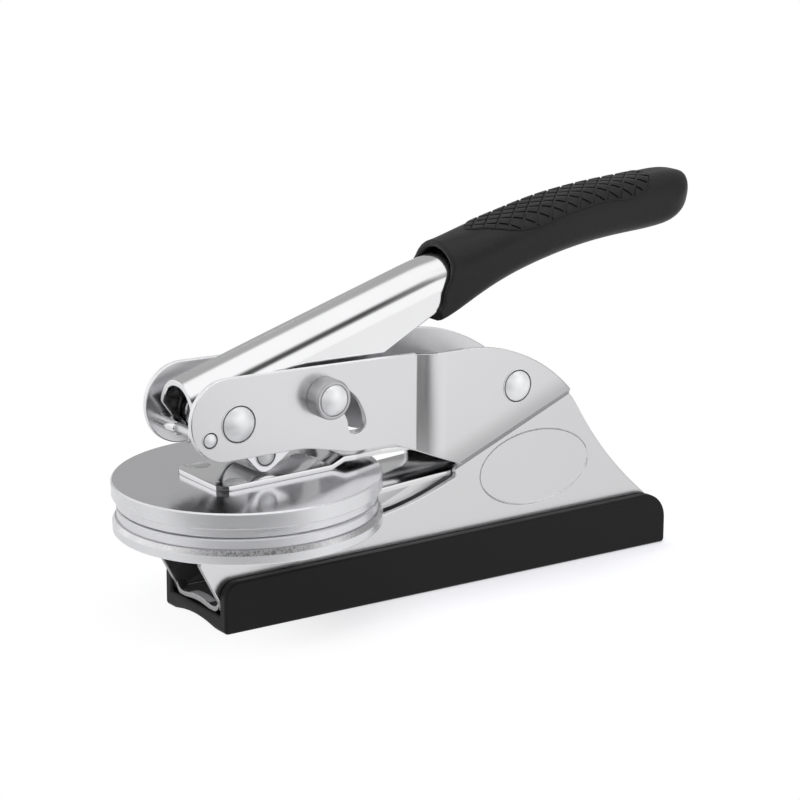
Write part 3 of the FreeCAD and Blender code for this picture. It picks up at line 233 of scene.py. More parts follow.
def turned(name, profile, place, along=(0, 1, 0), steps=96):
    """Turn a profile of (radius, height) points about an axis through a place."""
    place, along, out = Vector(place), Vector(along), Vector((1, 0, 0))
    piece = draw_line(name, [place + (out * radius + along * height) * MM
                             for radius, height in profile])
    bpy.ops.mesh.spin(steps=steps, angle=2 * math.pi, center=place, axis=along)
    bpy.ops.mesh.select_all(action="SELECT")
    bpy.ops.mesh.remove_doubles(threshold=SAME_POINT)
    bpy.ops.mesh.normals_make_consistent(inside=False)
    leave()
    return piece


def plate(name, outline, depth):
    """Plate with an outline of (x, y, z) points, extruded once by its depth."""
    points = [Vector(point) * MM for point in outline]
    piece = draw_line(name, points + points[:1])
    bpy.ops.mesh.remove_doubles(threshold=SAME_POINT)
    bpy.ops.mesh.edge_face_add()
    bpy.ops.mesh.extrude_region_move(TRANSFORM_OT_translate={"value": Vector(depth) * MM})
    bpy.ops.mesh.select_all(action="SELECT")
    bpy.ops.mesh.normals_make_consistent(inside=False)
    leave()
    return piece


def dome(radius, foot, rise, count=9):
    """Points of a shallow dome from its edge to the axis."""
    ball = (radius * radius + rise * rise) / (2 * rise)
    half = math.asin(min(1.0, radius / ball))
    return [(ball * math.sin(half * (1 - step / count)),
             foot + rise - ball + ball * math.cos(half * (1 - step / count)))
            for step in range(count + 1)]


# height over the seat of a rivet's rim, and of the groove's floor inside it
RIM_HEIGHT, GROOVE_FLOOR = 0.16, 0.03


def headed_pin(name, x, z, shank, seat, head, rise):
    """Pin across the tool; a fine groove and rim run round each domed head."""
    rim, groove = seat + RIM_HEIGHT, seat + GROOVE_FLOOR
    end = [(shank, seat), (head, seat), (head, seat + 0.1), (head - 0.07, rim),
           (head - 0.13, rim), (head - 0.15, groove), (head - 0.43, groove)]
    end += dome(head - 0.45, rim, rise - RIM_HEIGHT)
    profile = [(radius, -height) for radius, height in reversed(end)] + end
    piece = turned(name, profile, (x * MM, 0, z * MM))
    smooth(piece, 38.0)
    return piece


def join(name, *pieces):
    bpy.ops.object.select_all(action="DESELECT")
    for piece in pieces:
        piece.select_set(True)
    bpy.context.view_layer.objects.active = pieces[0]
    bpy.ops.object.join()
    pieces[0].name = name
    return pieces[0]


def use_material(piece, index, test):
    """Give the faces that pass a test one of the piece's materials."""
    edit(piece)
    choose(piece, "faces", test)
    piece.active_material_index = index
    bpy.ops.object.material_slot_assign()
    leave()


def middle(face):
    """Middle of a face in millimetres."""
    return face.calc_center_median() / MM


def cut_face(face):
    """True for the sheared edge of an upright sheet."""
    across = [corner.co.y / MM for corner in face.verts]
    return abs(face.normal.y) < 0.5 and max(across) - min(across) < 1.4


def paint(piece, *materials):
    piece.data.materials.clear()
    for material in materials:
        piece.data.materials.append(bpy.data.materials[material])


def settle(piece, body, slot, *nodes):
    """Make a finished piece ride on a body and stand for its nodes."""
    take(piece)
    bpy.ops.object.transform_apply(location=True, rotation=True, scale=True)
    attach(piece, body)
    if nodes:
        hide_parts(*nodes)
    return piece


# ---------------------------------------------------------------------------
# Node groups and finishes
# ---------------------------------------------------------------------------

def new_group(name, inputs, outputs):
    """Empty shader group with named float or vector sockets."""
    group = bpy.data.node_groups.new(name, "ShaderNodeTree")
    for socket, kind, value in inputs:
        made = group.interface.new_socket(name=socket, in_out="INPUT", socket_type=kind)
        if value is not None:
            made.default_value = value
    for socket, kind in outputs:
        group.interface.new_socket(name=socket, in_out="OUTPUT", socket_type=kind)
    return group, group.nodes.new("NodeGroupInput"), group.nodes.new("NodeGroupOutput")


def node(tree, kind, links=(), **values):
    """New node with properties set and inputs linked or given."""
    made = tree.nodes.new(kind)
    for name, value in values.items():
        setattr(made, name, value)
    for socket, source in links:
        if isinstance(source, bpy.types.NodeSocket):
            tree.links.new(source, made.inputs[socket])
        else:
            made.inputs[socket].default_value = source
    return made


def grain_group():
    """Fine leathery grain of moulded plastic, as a height."""
    group, given, result = new_group(
        "moulded grain",
        [("Vector", "NodeSocketVector", None), ("Size", "NodeSocketFloat", 2500.0),
         ("Sparkle", "NodeSocketFloat", 0.3)],
        [("Height", "NodeSocketFloat"), ("Tone", "NodeSocketFloat")])
    cells = node(group, "ShaderNodeTexVoronoi", [("Vector", given.outputs["Vector"]),
                                                 ("Scale", given.outputs["Size"])])
    specks = node(group, "ShaderNodeTexNoise", [("Vector", given.outputs["Vector"]),
                                                ("Scale", given.outputs["Size"]),
                                                ("Detail", 3.0)])
    both = node(group, "ShaderNodeMix", [("Factor", given.outputs["Sparkle"]),
                                         (2, cells.outputs["Distance"]),
                                         (3, specks.outputs["Fac"])], data_type="FLOAT")
    drift = node(group, "ShaderNodeTexNoise", [("Vector", given.outputs["Vector"]),
                                               ("Scale", 60.0), ("Detail", 2.0)])
    group.links.new(both.outputs[0], result.inputs["Height"])
    group.links.new(drift.outputs["Fac"], result.inputs["Tone"])
    return group


def brush_group():
    """Fine parallel brush lines along one direction, as a value about one half."""
    group, given, result = new_group(
        "brush lines",
        [("Vector", "NodeSocketVector", None), ("Stretch", "NodeSocketVector", (1, 1, 1)),
         ("Fineness", "NodeSocketFloat", 900.0)],
        [("Lines", "NodeSocketFloat"), ("Cloud", "NodeSocketFloat")])
    along = node(group, "ShaderNodeVectorMath", [(0, given.outputs["Vector"]),
                                                 (1, given.outputs["Stretch"])],
                 operation="MULTIPLY")
    lines = node(group, "ShaderNodeTexNoise", [("Vector", along.outputs[0]),
                                               ("Scale", given.outputs["Fineness"]),
                                               ("Detail", 4.0), ("Roughness", 0.6)])
    cloud = node(group, "ShaderNodeTexNoise", [("Vector", given.outputs["Vector"]),
                                               ("Scale", 45.0), ("Detail", 3.0)])
    group.links.new(lines.outputs["Fac"], result.inputs["Lines"])
    group.links.new(cloud.outputs["Fac"], result.inputs["Cloud"])
    return group


def range_group():
    """Value from zero to one, mapped to a low and a high end."""
    group, given, result = new_group(
        "spread",
        [("Value", "NodeSocketFloat", 0.5), ("Low", "NodeSocketFloat", 0.2),
         ("High", "NodeSocketFloat", 0.4)],
        [("Value", "NodeSocketFloat")])
    mapped = node(group, "ShaderNodeMapRange", [("Value", given.outputs["Value"]),
                                                ("From Min", 0.3), ("From Max", 0.7),
                                                ("To Min", given.outputs["Low"]),
                                                ("To Max", given.outputs["High"])])
    group.links.new(mapped.outputs[0], result.inputs["Value"])
    return group


def use_group(tree, name, links):
    return node(tree, "ShaderNodeGroup", links, node_tree=bpy.data.node_groups[name])


def maths(tree, kind, *values):
    return node(tree, "ShaderNodeMath", list(enumerate(values)), operation=kind).outputs[0]


def ramp(tree, value, low, high, start=0.0, end=1.0):
    """Smooth step of a value between two limits."""
    return node(tree, "ShaderNodeMapRange", [("Value", value), ("From Min", low),
                                             ("From Max", high), ("To Min", start),
                                             ("To Max", end)],
                interpolation_type="SMOOTHSTEP").outputs[0]


def part_along(tree, vector, direction):
    """Length of the part of a vector that runs along a direction."""
    return node(tree, "ShaderNodeVectorMath", [(0, vector), (1, direction)],
                operation="DOT_PRODUCT").outputs["Value"]


def toned(tree, tone, share):
    """A colour, darkened to a share that changes over the surface."""
    return node(tree, "ShaderNodeVectorMath", [(0, tone), ("Scale", share)],
                operation="SCALE").outputs[0]


def new_material(name):
    """New material: its tree, its shader and the Object coordinates."""
    material = bpy.data.materials.new(name)
    material.use_nodes = True
    tree = material.node_tree
    shader = tree.nodes["Principled BSDF"]
    place = tree.nodes.new("ShaderNodeTexCoord").outputs["Object"]
    return tree, shader, place


def metal(name, tone, rough, stretch, fineness, bump=0.0, mottle=0.04, metallic=1.0):
    """Metal with brush lines: rough is the low and high end of its roughness.

    A lower metallic share gives the frosted look of a blasted surface."""
    tree, shader, place = new_material(name)
    brush = use_group(tree, "brush lines", [("Vector", place), ("Stretch", stretch),
                                            ("Fineness", fineness)])
    rough_value = use_group(tree, "spread", [("Value", brush.outputs["Lines"]),
                                             ("Low", rough[0]), ("High", rough[1])])
    shade = use_group(tree, "spread", [("Value", brush.outputs["Cloud"]),
                                       ("Low", 1.0 - mottle), ("High", 1.0)])
    tree.links.new(toned(tree, tuple(tone), shade.outputs["Value"]),
                   shader.inputs["Base Color"])
    tree.links.new(rough_value.outputs["Value"], shader.inputs["Roughness"])
    shader.inputs["Metallic"].default_value = metallic
    if bump:
        raised = node(tree, "ShaderNodeBump", [("Height", brush.outputs["Lines"]),
                                               ("Strength", bump), ("Distance", 0.00002)])
        tree.links.new(raised.outputs[0], shader.inputs["Normal"])
    return tree, shader


def moulded(name, tone, rough, size, bump, shine=0.22):
    """Matt black plastic with a fine grain."""
    tree, shader, place = new_material(name)
    grain = use_group(tree, "moulded grain", [("Vector", place), ("Size", size)])
    shade = use_group(tree, "spread", [("Value", grain.outputs["Tone"]),
                                       ("Low", 0.85), ("High", 1.15)])
    tree.links.new(toned(tree, tuple(tone), shade.outputs["Value"]),
                   shader.inputs["Base Color"])
    rough_value = use_group(tree, "spread", [("Value", grain.outputs["Tone"]),
                                             ("Low", rough[0]), ("High", rough[1])])
    tree.links.new(rough_value.outputs["Value"], shader.inputs["Roughness"])
    raised = node(tree, "ShaderNodeBump", [("Height", grain.outputs["Height"]),
                                           ("Strength", bump), ("Distance", 0.00006)])
    tree.links.new(raised.outputs[0], shader.inputs["Normal"])
    shader.inputs["Specular IOR Level"].default_value = shine


# slope and height in metres of the line along the hump's foot
FOOT_SLOPE, FOOT_HEIGHT = 0.393, 0.0246


def make_nickel(colours):
    """Satin nickel with painted shade: a little darker just over the foot of the hump, where
    it is drawn.
    """
    tree, shader = metal("satin nickel", colours.nickel, (0.23, 0.27), (1.0, 1.0, 0.05),
                         2400.0, 0.04, 0.02)
    place = node(tree, "ShaderNodeSeparateXYZ", [
        (0, tree.nodes["Texture Coordinate"].outputs["Object"])])
    above = maths(tree, "SUBTRACT", place.outputs["Z"],
                  maths(tree, "MULTIPLY_ADD", place.outputs["X"], FOOT_SLOPE, FOOT_HEIGHT))
    # painted shade: up to 0.3 darker in a band 6 mm high over the line along the hump's foot
    drawn = maths(tree, "MULTIPLY", ramp(tree, above, 0.0060, 0.0),
                  ramp(tree, above, -0.0004, 0.0))
    tone = maths(tree, "SUBTRACT", 1.0, maths(tree, "MULTIPLY", drawn, 0.30))
    plain = shader.inputs["Base Color"].links[0].from_socket
    tree.links.new(toned(tree, plain, tone), shader.inputs["Base Color"])


def make_finishes(colours):
    """All finishes, with those that paint shade, from the shared groups and the colours in the
    settings.
    """
    grain_group()
    brush_group()
    range_group()
    make_nickel(colours)
    metal("shaded nickel", [tone * 0.45 for tone in colours.nickel], (0.25, 0.32),
          (1.0, 1.0, 0.05), 2400.0)
    # near black for painted shade inside the channel, on the top of the slanted strip, in the
    # rivets' grooves and on the lip
    metal("dull inside", colours.inside, (0.40, 0.55), (1.0, 1.0, 0.1), 900.0, 0.1)
    metal("cut edge", colours.cut_edge, (0.35, 0.50), (0.1, 0.1, 1.0), 1500.0, 0.2,
          metallic=0.6)
    metal("polished chrome", colours.chrome, (0.09, 0.14), (0.05, 1.0, 1.0), 700.0)
    # chrome darkened to 0.14: painted shade inside the lever and on the leaves' front corners
    metal("dark chrome", [tone * 0.14 for tone in colours.chrome], (0.14, 0.22),
          (0.1, 1.0, 1.0), 900.0)
    metal("polished leaf", colours.leaf, (0.10, 0.15), (0.05, 1.0, 1.0), 700.0)
    metal("die face", colours.die, (0.13, 0.19), (1.0, 0.3, 1.0), 1300.0)
    metal("blasted face", colours.die, (0.55, 0.70), (1.0, 1.0, 1.0), 1800.0,
          metallic=0.15)
    metal("die rim", colours.die, (0.26, 0.34), (0.05, 0.05, 1.0), 1200.0,
          metallic=0.75)
    metal("knurled band", colours.cut_edge, (0.10, 0.45), (1.0, 1.0, 0.7), 2000.0, 1.0,
          0.6)
    metal("polished rivet", colours.rivet, (0.36, 0.42), (1.0, 1.0, 1.0), 900.0,
          metallic=0.5)
    metal("plain steel", colours.steel, (0.22, 0.34), (1.0, 0.1, 1.0), 1200.0, 0.1)
    metal("spring wire", colours.steel, (0.16, 0.26), (1.0, 1.0, 1.0), 1500.0)
    metal("satin knob", colours.knob, (0.42, 0.52), (1.0, 1.0, 1.0), 1500.0, 0.1)
    moulded("grip plastic", colours.plastic, (0.38, 0.50), 900.0, 1.0, 0.30)
    # plastic darkened to 0.35: painted shade for the grooves between the pads
    moulded("grip groove", [tone * 0.35 for tone in colours.plastic], (0.7, 0.8), 2600.0,
            0.2)
    moulded("shoe plastic", colours.shoe, (0.42, 0.52), 2600.0, 0.3)


# ---------------------------------------------------------------------------
# Pieces
# ---------------------------------------------------------------------------

# places and sizes in millimetres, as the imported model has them
DISC_PLACE = (-40.7, 0.0, 17.2)
DISC_TILT = -1.5
DISC_RADIUS, DIE_RADIUS = 25.5, 24.65
# heights of the stack over the foot of the bottom holder
LOWER_HOLDER, LOWER_DIE = (0.0, 2.65), (2.65, 4.6)
UPPER_DIE, UPPER_HOLDER = (4.95, 6.7), (6.7, 9.8)
LEAF_THICK, LEAF_RIVET_GRIP = 1.05, 1.8
# x, y and radius of each leaf rivet, from the discs' axis
LEAF_RIVETS = ((-6.3, -6.4, 1.95), (-6.3, 6.4, 1.95), (11.6, 0.0, 1.6))
# half widths of the channel and of the hump
CHANNEL_HALF, HUMP_HALF = 8.9, 11.0
# x and z of the pins across the tool
PIVOT, CROSS_ROD, REAR, ROLLER = (-47.9, 39.4), (-54.0, 37.2), (14.1, 38.4), (-40.5, 31.7)


def in_relief(point):
    """True for a point on the arched hollow under the shoe."""
    return abs(point.y) < 9.5 and point.z < 2.0


class EMBOSSER_OT_shoe(bpy.types.Operator):
    """Make the plastic shoe under the frame"""
    bl_idname = "embosser.shoe"
    bl_label = "Shoe"

    def execute(self, context):
        shoe = copy_of("base_shoe", "shoe")
        round_outline(shoe, context.scene.embosser_sizes.shoe_edge, in_relief, 3, SHARP)
        keep_flats(shoe)
        paint(shoe, "shoe plastic")
        settle(shoe, "frame", "shoe", "base_shoe")
        return {"FINISHED"}


# upper line of the crowned lip across the channel's front, from the middle to a wall
LIP_CROWN = ((0.0, 4.8), (1.5, 4.75), (3.0, 4.55), (4.4, 4.3), (5.6, 4.2), (6.5, 4.4),
             (7.2, 4.9), (7.7, 5.7))
LIP_THICK, LIP_FRONT, LIP_REACH = 1.1, -52.1, 2.2
# lowest the lip may reach, just over the shoe's floor
LIP_FOOT = 3.25


def channel_lip():
    """The crowned lip that closes the front of the channel's floor."""
    upper = [(-y, z) for y, z in reversed(LIP_CROWN[1:])] + list(LIP_CROWN)
    lower = [(y, max(z - LIP_THICK, LIP_FOOT)) for y, z in reversed(upper)]
    lip = plate("channel_lip", [(LIP_FRONT, y, z) for y, z in upper + lower],
                (LIP_REACH, 0, 0))
    add_modifier(lip, "BEVEL", width=0.00034, segments=4, limit_method="ANGLE",
                 angle_limit=math.radians(50))
    apply_modifiers(lip)
    smooth(lip, 40.0)
    return lip


def wide_fold(edge):
    """True for the upright fold between the slanted strip and a side of the hump."""
    return (len(edge.link_faces) == 2
            and all(abs(abs(end.co.y / MM) - HUMP_HALF) < 0.01 for end in edge.verts)
            and 0.4 < edge.calc_face_angle(0.0) < 0.7
            and abs(edge.verts[0].co.x - edge.verts[1].co.x) < 0.5 * MM)


def drawn_step(face):
    """True for the step that the hump is drawn by, on its underside."""
    return (face.normal.z < -0.45 and abs(face.normal.y) > 0.3
            and CHANNEL_HALF - 0.1 < abs(middle(face).y) < HUMP_HALF + 0.2)


def strip_top(face):
    """True for the upper end of the slanted strip."""
    spot = middle(face)
    return (face.normal.z > 0.5 and 7.9 < abs(spot.y) < 10.8 and -8.4 < spot.x < -4.6
            and spot.z > 40.0)


def channel_inside(face):
    """True for the low inner side of the channel."""
    spot = middle(face)
    return spot.z < 16.5 and abs(spot.y) < 7.8 and not cut_face(face)


def toe_edge(face):
    """True for the sheared front edge of the channel's toe."""
    spot = middle(face)
    return face.normal.x < -0.5 and spot.z < 17.0 and spot.x < -50.0


class EMBOSSER_OT_frame(bpy.types.Operator):
    """Make the folded steel frame with its bright sheared edges"""
    bl_idname = "embosser.frame"
    bl_label = "Frame"

    def execute(self, context):
        sizes = context.scene.embosser_sizes
        channel = copy_of("body_frame", "channel")
        edit(channel)
        merge_flats()
        choose(channel, "edges", wide_fold)
        bpy.ops.mesh.bevel(offset=sizes.fold_round, segments=10, affect="EDGES")
        leave()
        break_edges(channel, sizes.sheet_edge)
        keep_flats(channel)
        paint(channel, "satin nickel", "cut edge", "dull inside", "shaded nickel")
        # painted shade: darkened nickel on the step under the hump and on the toe's front
        # edges; near black on the top of the slanted strip and inside the channel
        for index, test in ((1, cut_face), (3, drawn_step), (2, strip_top),
                            (2, channel_inside), (3, toe_edge)):
            use_material(channel, index, test)
        settle(channel, "frame", "frame_steel", "body_frame")
        lip = channel_lip()
        paint(lip, "cut edge", "shaded nickel", "dull inside")
        # painted shade: darkened nickel on the lip's front face and its far side, near black
        # on its top by the walls
        use_material(lip, 1, lambda face: face.normal.x < -0.8 or middle(face).y > 2.9)
        use_material(lip, 2, lambda face: abs(middle(face).y) > 4.6 and face.normal.x > -0.4)
        settle(lip, "frame", "frame_steel")
        return {"FINISHED"}


def rod_sleeve(start, end, start_round, end_round):
    """Polished tube on the cross rod between two places across the tool."""
    rod, outer = 0.84, 1.45
    x, z = CROSS_ROD
    return turned("rod_sleeve", [
        (rod, start), (outer - start_round, start), (outer, start + start_round),
        (outer, end - end_round), (outer - end_round, end), (rod, end), (rod, start)],
        (x * MM, 0, z * MM))


class EMBOSSER_OT_rivets(bpy.types.Operator):
    """Turn the rivets, the cross rod, the spacer and the roller"""
    bl_idname = "embosser.rivets"
    bl_label = "Rivets and pins"

    def execute(self, context):
        for name, (x, z), shank, seat, head, rise, body, slot in (
                ("pivot_rivet", PIVOT, 1.95, CHANNEL_HALF, 3.7, 1.5, "frame", "rivets"),
                ("front_cross_rod", CROSS_ROD, 0.85, CHANNEL_HALF, 1.7, 0.7, "frame",
                 "rivets"),
                ("rear_rivet", REAR, 0.95, HUMP_HALF, 3.4, 1.3, "frame", "rivets"),
                ("roller_pin", ROLLER, 1.4, 6.2, 2.2, 0.8, "handle", "plain_steel")):
            pin = headed_pin("turned_" + name, x, z, shank, seat, head, rise)
            paint(pin, "polished rivet", "dull inside")
            # painted shade: the fine groove round each head is near black
            use_material(pin, 1, lambda face: (
                abs(abs(middle(face).y) - seat - GROOVE_FLOOR) < 0.01))
            settle(pin, body, slot, name)
        # the spring's front leg passes the rod between the two sleeves
        sleeves = join("rod_sleeves", rod_sleeve(2.0, 7.7, 0.15, 0.1),
                       rod_sleeve(-7.7, -3.25, 0.1, 0.15))
        smooth(sleeves, 38.0)
        paint(sleeves, "polished leaf")
        settle(sleeves, "frame", "rivets")
        edge = 0.25
        for name, (x, z), outer, inner, half, body in (
                ("rear_spacer", REAR, 1.35, 0.96, 9.8, "frame"),
                ("pivot_bush", PIVOT, 2.9, 2.0, 7.65, "handle"),
                ("press_roller", ROLLER, 3.45, 1.45, 4.4, "roller")):
            tube = turned("turned_" + name, [
                (inner, -half + edge), (inner + edge, -half), (outer - edge, -half),
                (outer, -half + edge), (outer, half - edge), (outer - edge, half),
                (inner + edge, half), (inner, half - edge), (inner, -half + edge)],
                (x * MM, 0, z * MM))
            smooth(tube, 30.0)
            paint(tube, "polished rivet")
            settle(tube, body, "plain_steel", name)
        return {"FINISHED"}


def lean(piece):
    """Lay a piece made about the upright axis on the leaning disc axis."""
    piece.rotation_euler = (0, math.radians(DISC_TILT), 0)
    piece.location = Vector(DISC_PLACE) * MM
    take(piece)
    bpy.ops.object.transform_apply(location=True, rotation=True, scale=True)


def leaf_rivets(name, foot, top):
    """Three flush rivets of a leaf, with a fine bevel round each end."""
    bevel, sunk = 0.16, 0.01
    made = []
    for x, y, radius in LEAF_RIVETS:
        made.append(turned(name, [(0, foot), (radius, foot), (radius, top - bevel),
                                  (radius - bevel, top - sunk), (0, top - sunk)],
                           (x * MM, y * MM, 0), (0, 0, 1), 48))
    piece = join(name, *made)
    smooth(piece, 30.0)
    return piece


class EMBOSSER_OT_dies(bpy.types.Operator):
    """Turn the two dies and their holders"""
    bl_idname = "embosser.dies"
    bl_label = "Dies and holders"

    def execute(self, context):
        edge = context.scene.embosser_sizes.die_edge / MM
        # inset and drop are those of the bevel round the top
        for name, radius, (foot, top), inset, drop, body in (
                ("lower_die_holder", DISC_RADIUS, LOWER_HOLDER, 0.5, 0.9, "lower_arm"),
                ("lower_die", DIE_RADIUS, LOWER_DIE, edge, edge, "lower_arm"),
                ("upper_die", DIE_RADIUS, UPPER_DIE, edge, edge, "upper_arm"),
                ("upper_die_holder", DISC_RADIUS, UPPER_HOLDER, 0.28, 0.28, "upper_arm")):
            disc = turned("turned_" + name, [
                (0, foot), (radius - edge, foot), (radius, foot + edge),
                (radius, top - drop), (radius - inset, top), (0, top)],
                (0, 0, 0), (0, 0, 1), 160)
            smooth(disc, 20.0)
            paint(disc, "die rim", "die face", "knurled band", "blasted face")
            use_material(disc, 1, lambda face: abs(face.normal.z) > 0.95)
            if name in ("upper_die", "lower_die"):
                facing = -1 if name == "upper_die" else 1
                use_material(disc, 3, lambda face: face.normal.z * facing > 0.95)
            if name == "lower_die_holder":
                use_material(disc, 2, lambda face: 0.3 < face.normal.z < 0.8)
            lean(disc)
            settle(disc, body, "disc_metal", name)
        return {"FINISHED"}


# downturned flange of the lower leaf: its lower line and its two ends on the leaf
FLANGE_LOW = ((-22.0, 16.6), (-17.5, 16.95), (-12.9, 17.65), (-8.4, 18.65), (-4.0, 20.0),
              (-1.0, 21.2))
FLANGE_TOP = ((-1.0, 21.5), (-22.0, 20.15))
FLANGE_OUTER, FLANGE_THICK = 7.4, 0.6


def near_rivet(point):
    """True for a point on the rim of one of the leaves' rivet holes."""
    for x, y, radius in LEAF_RIVETS:
        if math.hypot(point.x - DISC_PLACE[0] - x, point.y - y) < radius + 0.7:
            return True
    return False


def leaf_flanges():
    """The two flanges that stiffen the lower leaf inside the channel."""
    sides = []
    for sign in (-1, 1):
        side = plate("flange", [(x, sign * FLANGE_OUTER, z)
                                for x, z in FLANGE_LOW + FLANGE_TOP],
                     (0, -sign * FLANGE_THICK, 0))
        add_modifier(side, "BEVEL", width=0.00012, segments=2)
        apply_modifiers(side)
        sides.append(side)
    flanges = join("leaf_flanges", *sides)
    smooth(flanges, 30.0)
    return flanges


def leaf_corner(face):
    """True for the rounded front corners of the upper leaf."""
    return face.normal.x < -0.3 and abs(face.normal.y) > 0.3 and middle(face).x < -48.8


class EMBOSSER_OT_leaves(bpy.types.Operator):
    """Make the polished spring leaves, their bend and their rivets"""
    bl_idname = "embosser.leaves"
    bl_label = "Leaves"

    def execute(self, context):
        for name, body in (("upper_leaf", "upper_arm"), ("lower_leaf", "lower_arm"),
                           ("hairpin_bend", "frame")):
            leaf = copy_of(name, "polished_" + name)
            round_outline(leaf, context.scene.embosser_sizes.leaf_edge, near_rivet)
            paint(leaf, "polished leaf", "dark chrome")
            # painted shade: darkened chrome on the upper leaf's rounded front corners
            use_material(leaf, 1, leaf_corner)
            settle(leaf, body, "leaf_steel", name)
        flanges = leaf_flanges()
        paint(flanges, "satin nickel")
        settle(flanges, "lower_arm", "leaf_steel")
        for name, (foot, top), body in (
                ("upper_leaf_rivets", UPPER_HOLDER, "upper_arm"),
                ("lower_leaf_rivets", LOWER_HOLDER, "lower_arm")):
            rivets = leaf_rivets("turned_" + name, top - LEAF_RIVET_GRIP, top + LEAF_THICK)
            paint(rivets, "polished rivet")
            lean(rivets)
            settle(rivets, body, "rivets", name)
        return {"FINISHED"}


def lever_edge(face):
    """True for the sheared lower edges and the front edge of the lever."""
    spot = middle(face)
    return ((cut_face(face) and abs(spot.y) > 4.9 and face.normal.z < 0.1)
            or (face.normal.x < -0.8 and spot.x < -55.0))


def lever_inside(face):
    """True for the inner side of the lever's walls and arch."""
    across = middle(face).y
    return face.normal.y * across < -1.5 or (face.normal.z < -0.3 and abs(across) < 4.8)


class EMBOSSER_OT_lever(bpy.types.Operator):
    """Make the chromed lever with its bright front edge"""
    bl_idname = "embosser.lever"
    bl_label = "Lever"

    def execute(self, context):
        lever = copy_of("lever", "chromed_lever")
        break_edges(lever, context.scene.embosser_sizes.sheet_edge)
        paint(lever, "polished chrome", "cut edge", "dark chrome")
        use_material(lever, 1, lever_edge)
        # painted shade: the inner side of the lever's walls and arch in darkened chrome
        use_material(lever, 2, lever_inside)
        settle(lever, "handle", "lever_chrome", "lever")
        return {"FINISHED"}


class EMBOSSER_OT_springs(bpy.types.Operator):
    """Finish the coil round the bush and its arm"""
    bl_idname = "embosser.springs"
    bl_label = "Return spring"

    def execute(self, context):
        for name, body in (("return_spring", "frame"), ("spring_arm", "handle")):
            wire = copy_of(name, "wound_" + name)
            smooth(wire, 50.0)
            paint(wire, "spring wire")
            settle(wire, body, "spring_wire", name)
        return {"FINISHED"}


class EMBOSSER_OT_knobs(bpy.types.Operator):
    """Turn the slide's pin and its two ringed knobs"""
    bl_idname = "embosser.knobs"
    bl_label = "Slide knobs"

    def execute(self, context):
        lo, hi = (Vector(corner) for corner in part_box("slide_pin"))
        centre = (lo + hi) / 2
        centre.y = 0.0
        reach = hi.y / MM
        pin = turned("turned_slide_pin", [(0, -reach), (1.6, -reach), (1.7, -reach + 0.1),
                                          (1.7, reach - 0.1), (1.6, reach), (0, reach)],
                     centre)
        smooth(pin, 30.0)
        paint(pin, "plain steel")
        settle(pin, "slide", "plain_steel", "slide_pin")
        seat = CHANNEL_HALF + 0.05
        rings, caps = [], []
        for sign in (-1, 1):
            ring = [(1.75, seat), (3.7, seat), (3.85, seat + 0.15), (3.85, reach - 0.6),
                    (3.72, reach - 0.22), (3.42, reach), (3.1, reach), (3.0, reach - 0.35),
                    (1.75, reach - 0.35), (1.75, seat)]
            rings.append(turned("ring", [(r, sign * h) for r, h in ring], centre))
            cap = [(0, reach - 0.35), (2.86, reach - 0.35), (2.86, reach + 0.05)]
            cap += dome(2.8, reach + 0.12, 1.18)
            caps.append(turned("cap", [(r, sign * h) for r, h in cap], centre))
        ring = join("knob_rings", *rings)
        smooth(ring, 32.0)
        paint(ring, "satin knob")
        cap = join("knob_caps", *caps)
        smooth(cap, 40.0)
        paint(cap, "polished rivet")
        settle(ring, "slide", "knob_metal", "slide_knobs")
        settle(cap, "slide", "knob_metal", "slide_knobs")
        return {"FINISHED"}


# the padded patch on top of the grip: stations and half widths
PATCH = ((12.0, 3.4), (15.6, 5.9), (19.5, 6.95), (29.0, 7.0), (38.0, 6.65), (47.2, 6.5),
         (51.3, 4.6))
PATCH_ENDS = (9.3, 53.0)
PATCH_MIDDLE = 31.5
# length and width of the flat sheet that the patch's floor is cut from
PATCH_SHEET = (50.0, 17.0)
# height in metres at which the patch is drawn, before it is laid on the grip
ABOVE_GRIP = 0.09


def patch_line():
    """Smooth closed line round the patch, flat and above the grip."""
    corners = [(PATCH_ENDS[0], 0.0)] + list(PATCH) + [(PATCH_ENDS[1], 0.0)]
    corners += [(x, -half) for x, half in reversed(PATCH)]
    drawn = bpy.data.curves.new("patch line", "CURVE")
    drawn.dimensions = "3D"
    drawn.resolution_u = 8
    line = drawn.splines.new("BEZIER")
    line.bezier_points.add(len(corners) - 1)
    for point, (x, y) in zip(line.bezier_points, corners):
        point.co = (x * MM, y * MM, ABOVE_GRIP)
        point.handle_left_type = point.handle_right_type = "AUTO"
    line.use_cyclic_u = True
    piece = bpy.data.objects.new("patch_line", drawn)
    bpy.context.scene.collection.objects.link(piece)
    take(piece)
    bpy.ops.object.convert(target="MESH")
    return bpy.context.object


def keep_patch(piece):
    """Cut flat faces to the patch's outline."""
    add_modifier(piece, "SOLIDIFY", thickness=4 * MM, offset=0.0)
    apply_modifiers(piece)
    # the cutter is thinner than the sheet, so the faces left are parts of its flat top
    cutter = patch_line()
    edit(cutter)
    bpy.ops.mesh.select_all(action="SELECT")
    bpy.ops.mesh.edge_face_add()
    bpy.ops.transform.translate(value=(0, 0, -MM))
    bpy.ops.mesh.extrude_region_move(TRANSFORM_OT_translate={"value": (0, 0, 2 * MM)})
    bpy.ops.mesh.select_all(action="SELECT")
    bpy.ops.mesh.normals_make_consistent(inside=False)
    leave()
    add_modifier(piece, "BOOLEAN", object=cutter, operation="INTERSECT", solver="EXACT")
    apply_modifiers(piece)
    bpy.data.objects.remove(cutter)
    edit(piece)
    choose(piece, "faces", lambda face: face.normal.z < 0.9)
    bpy.ops.mesh.delete(type="FACE")
    leave()


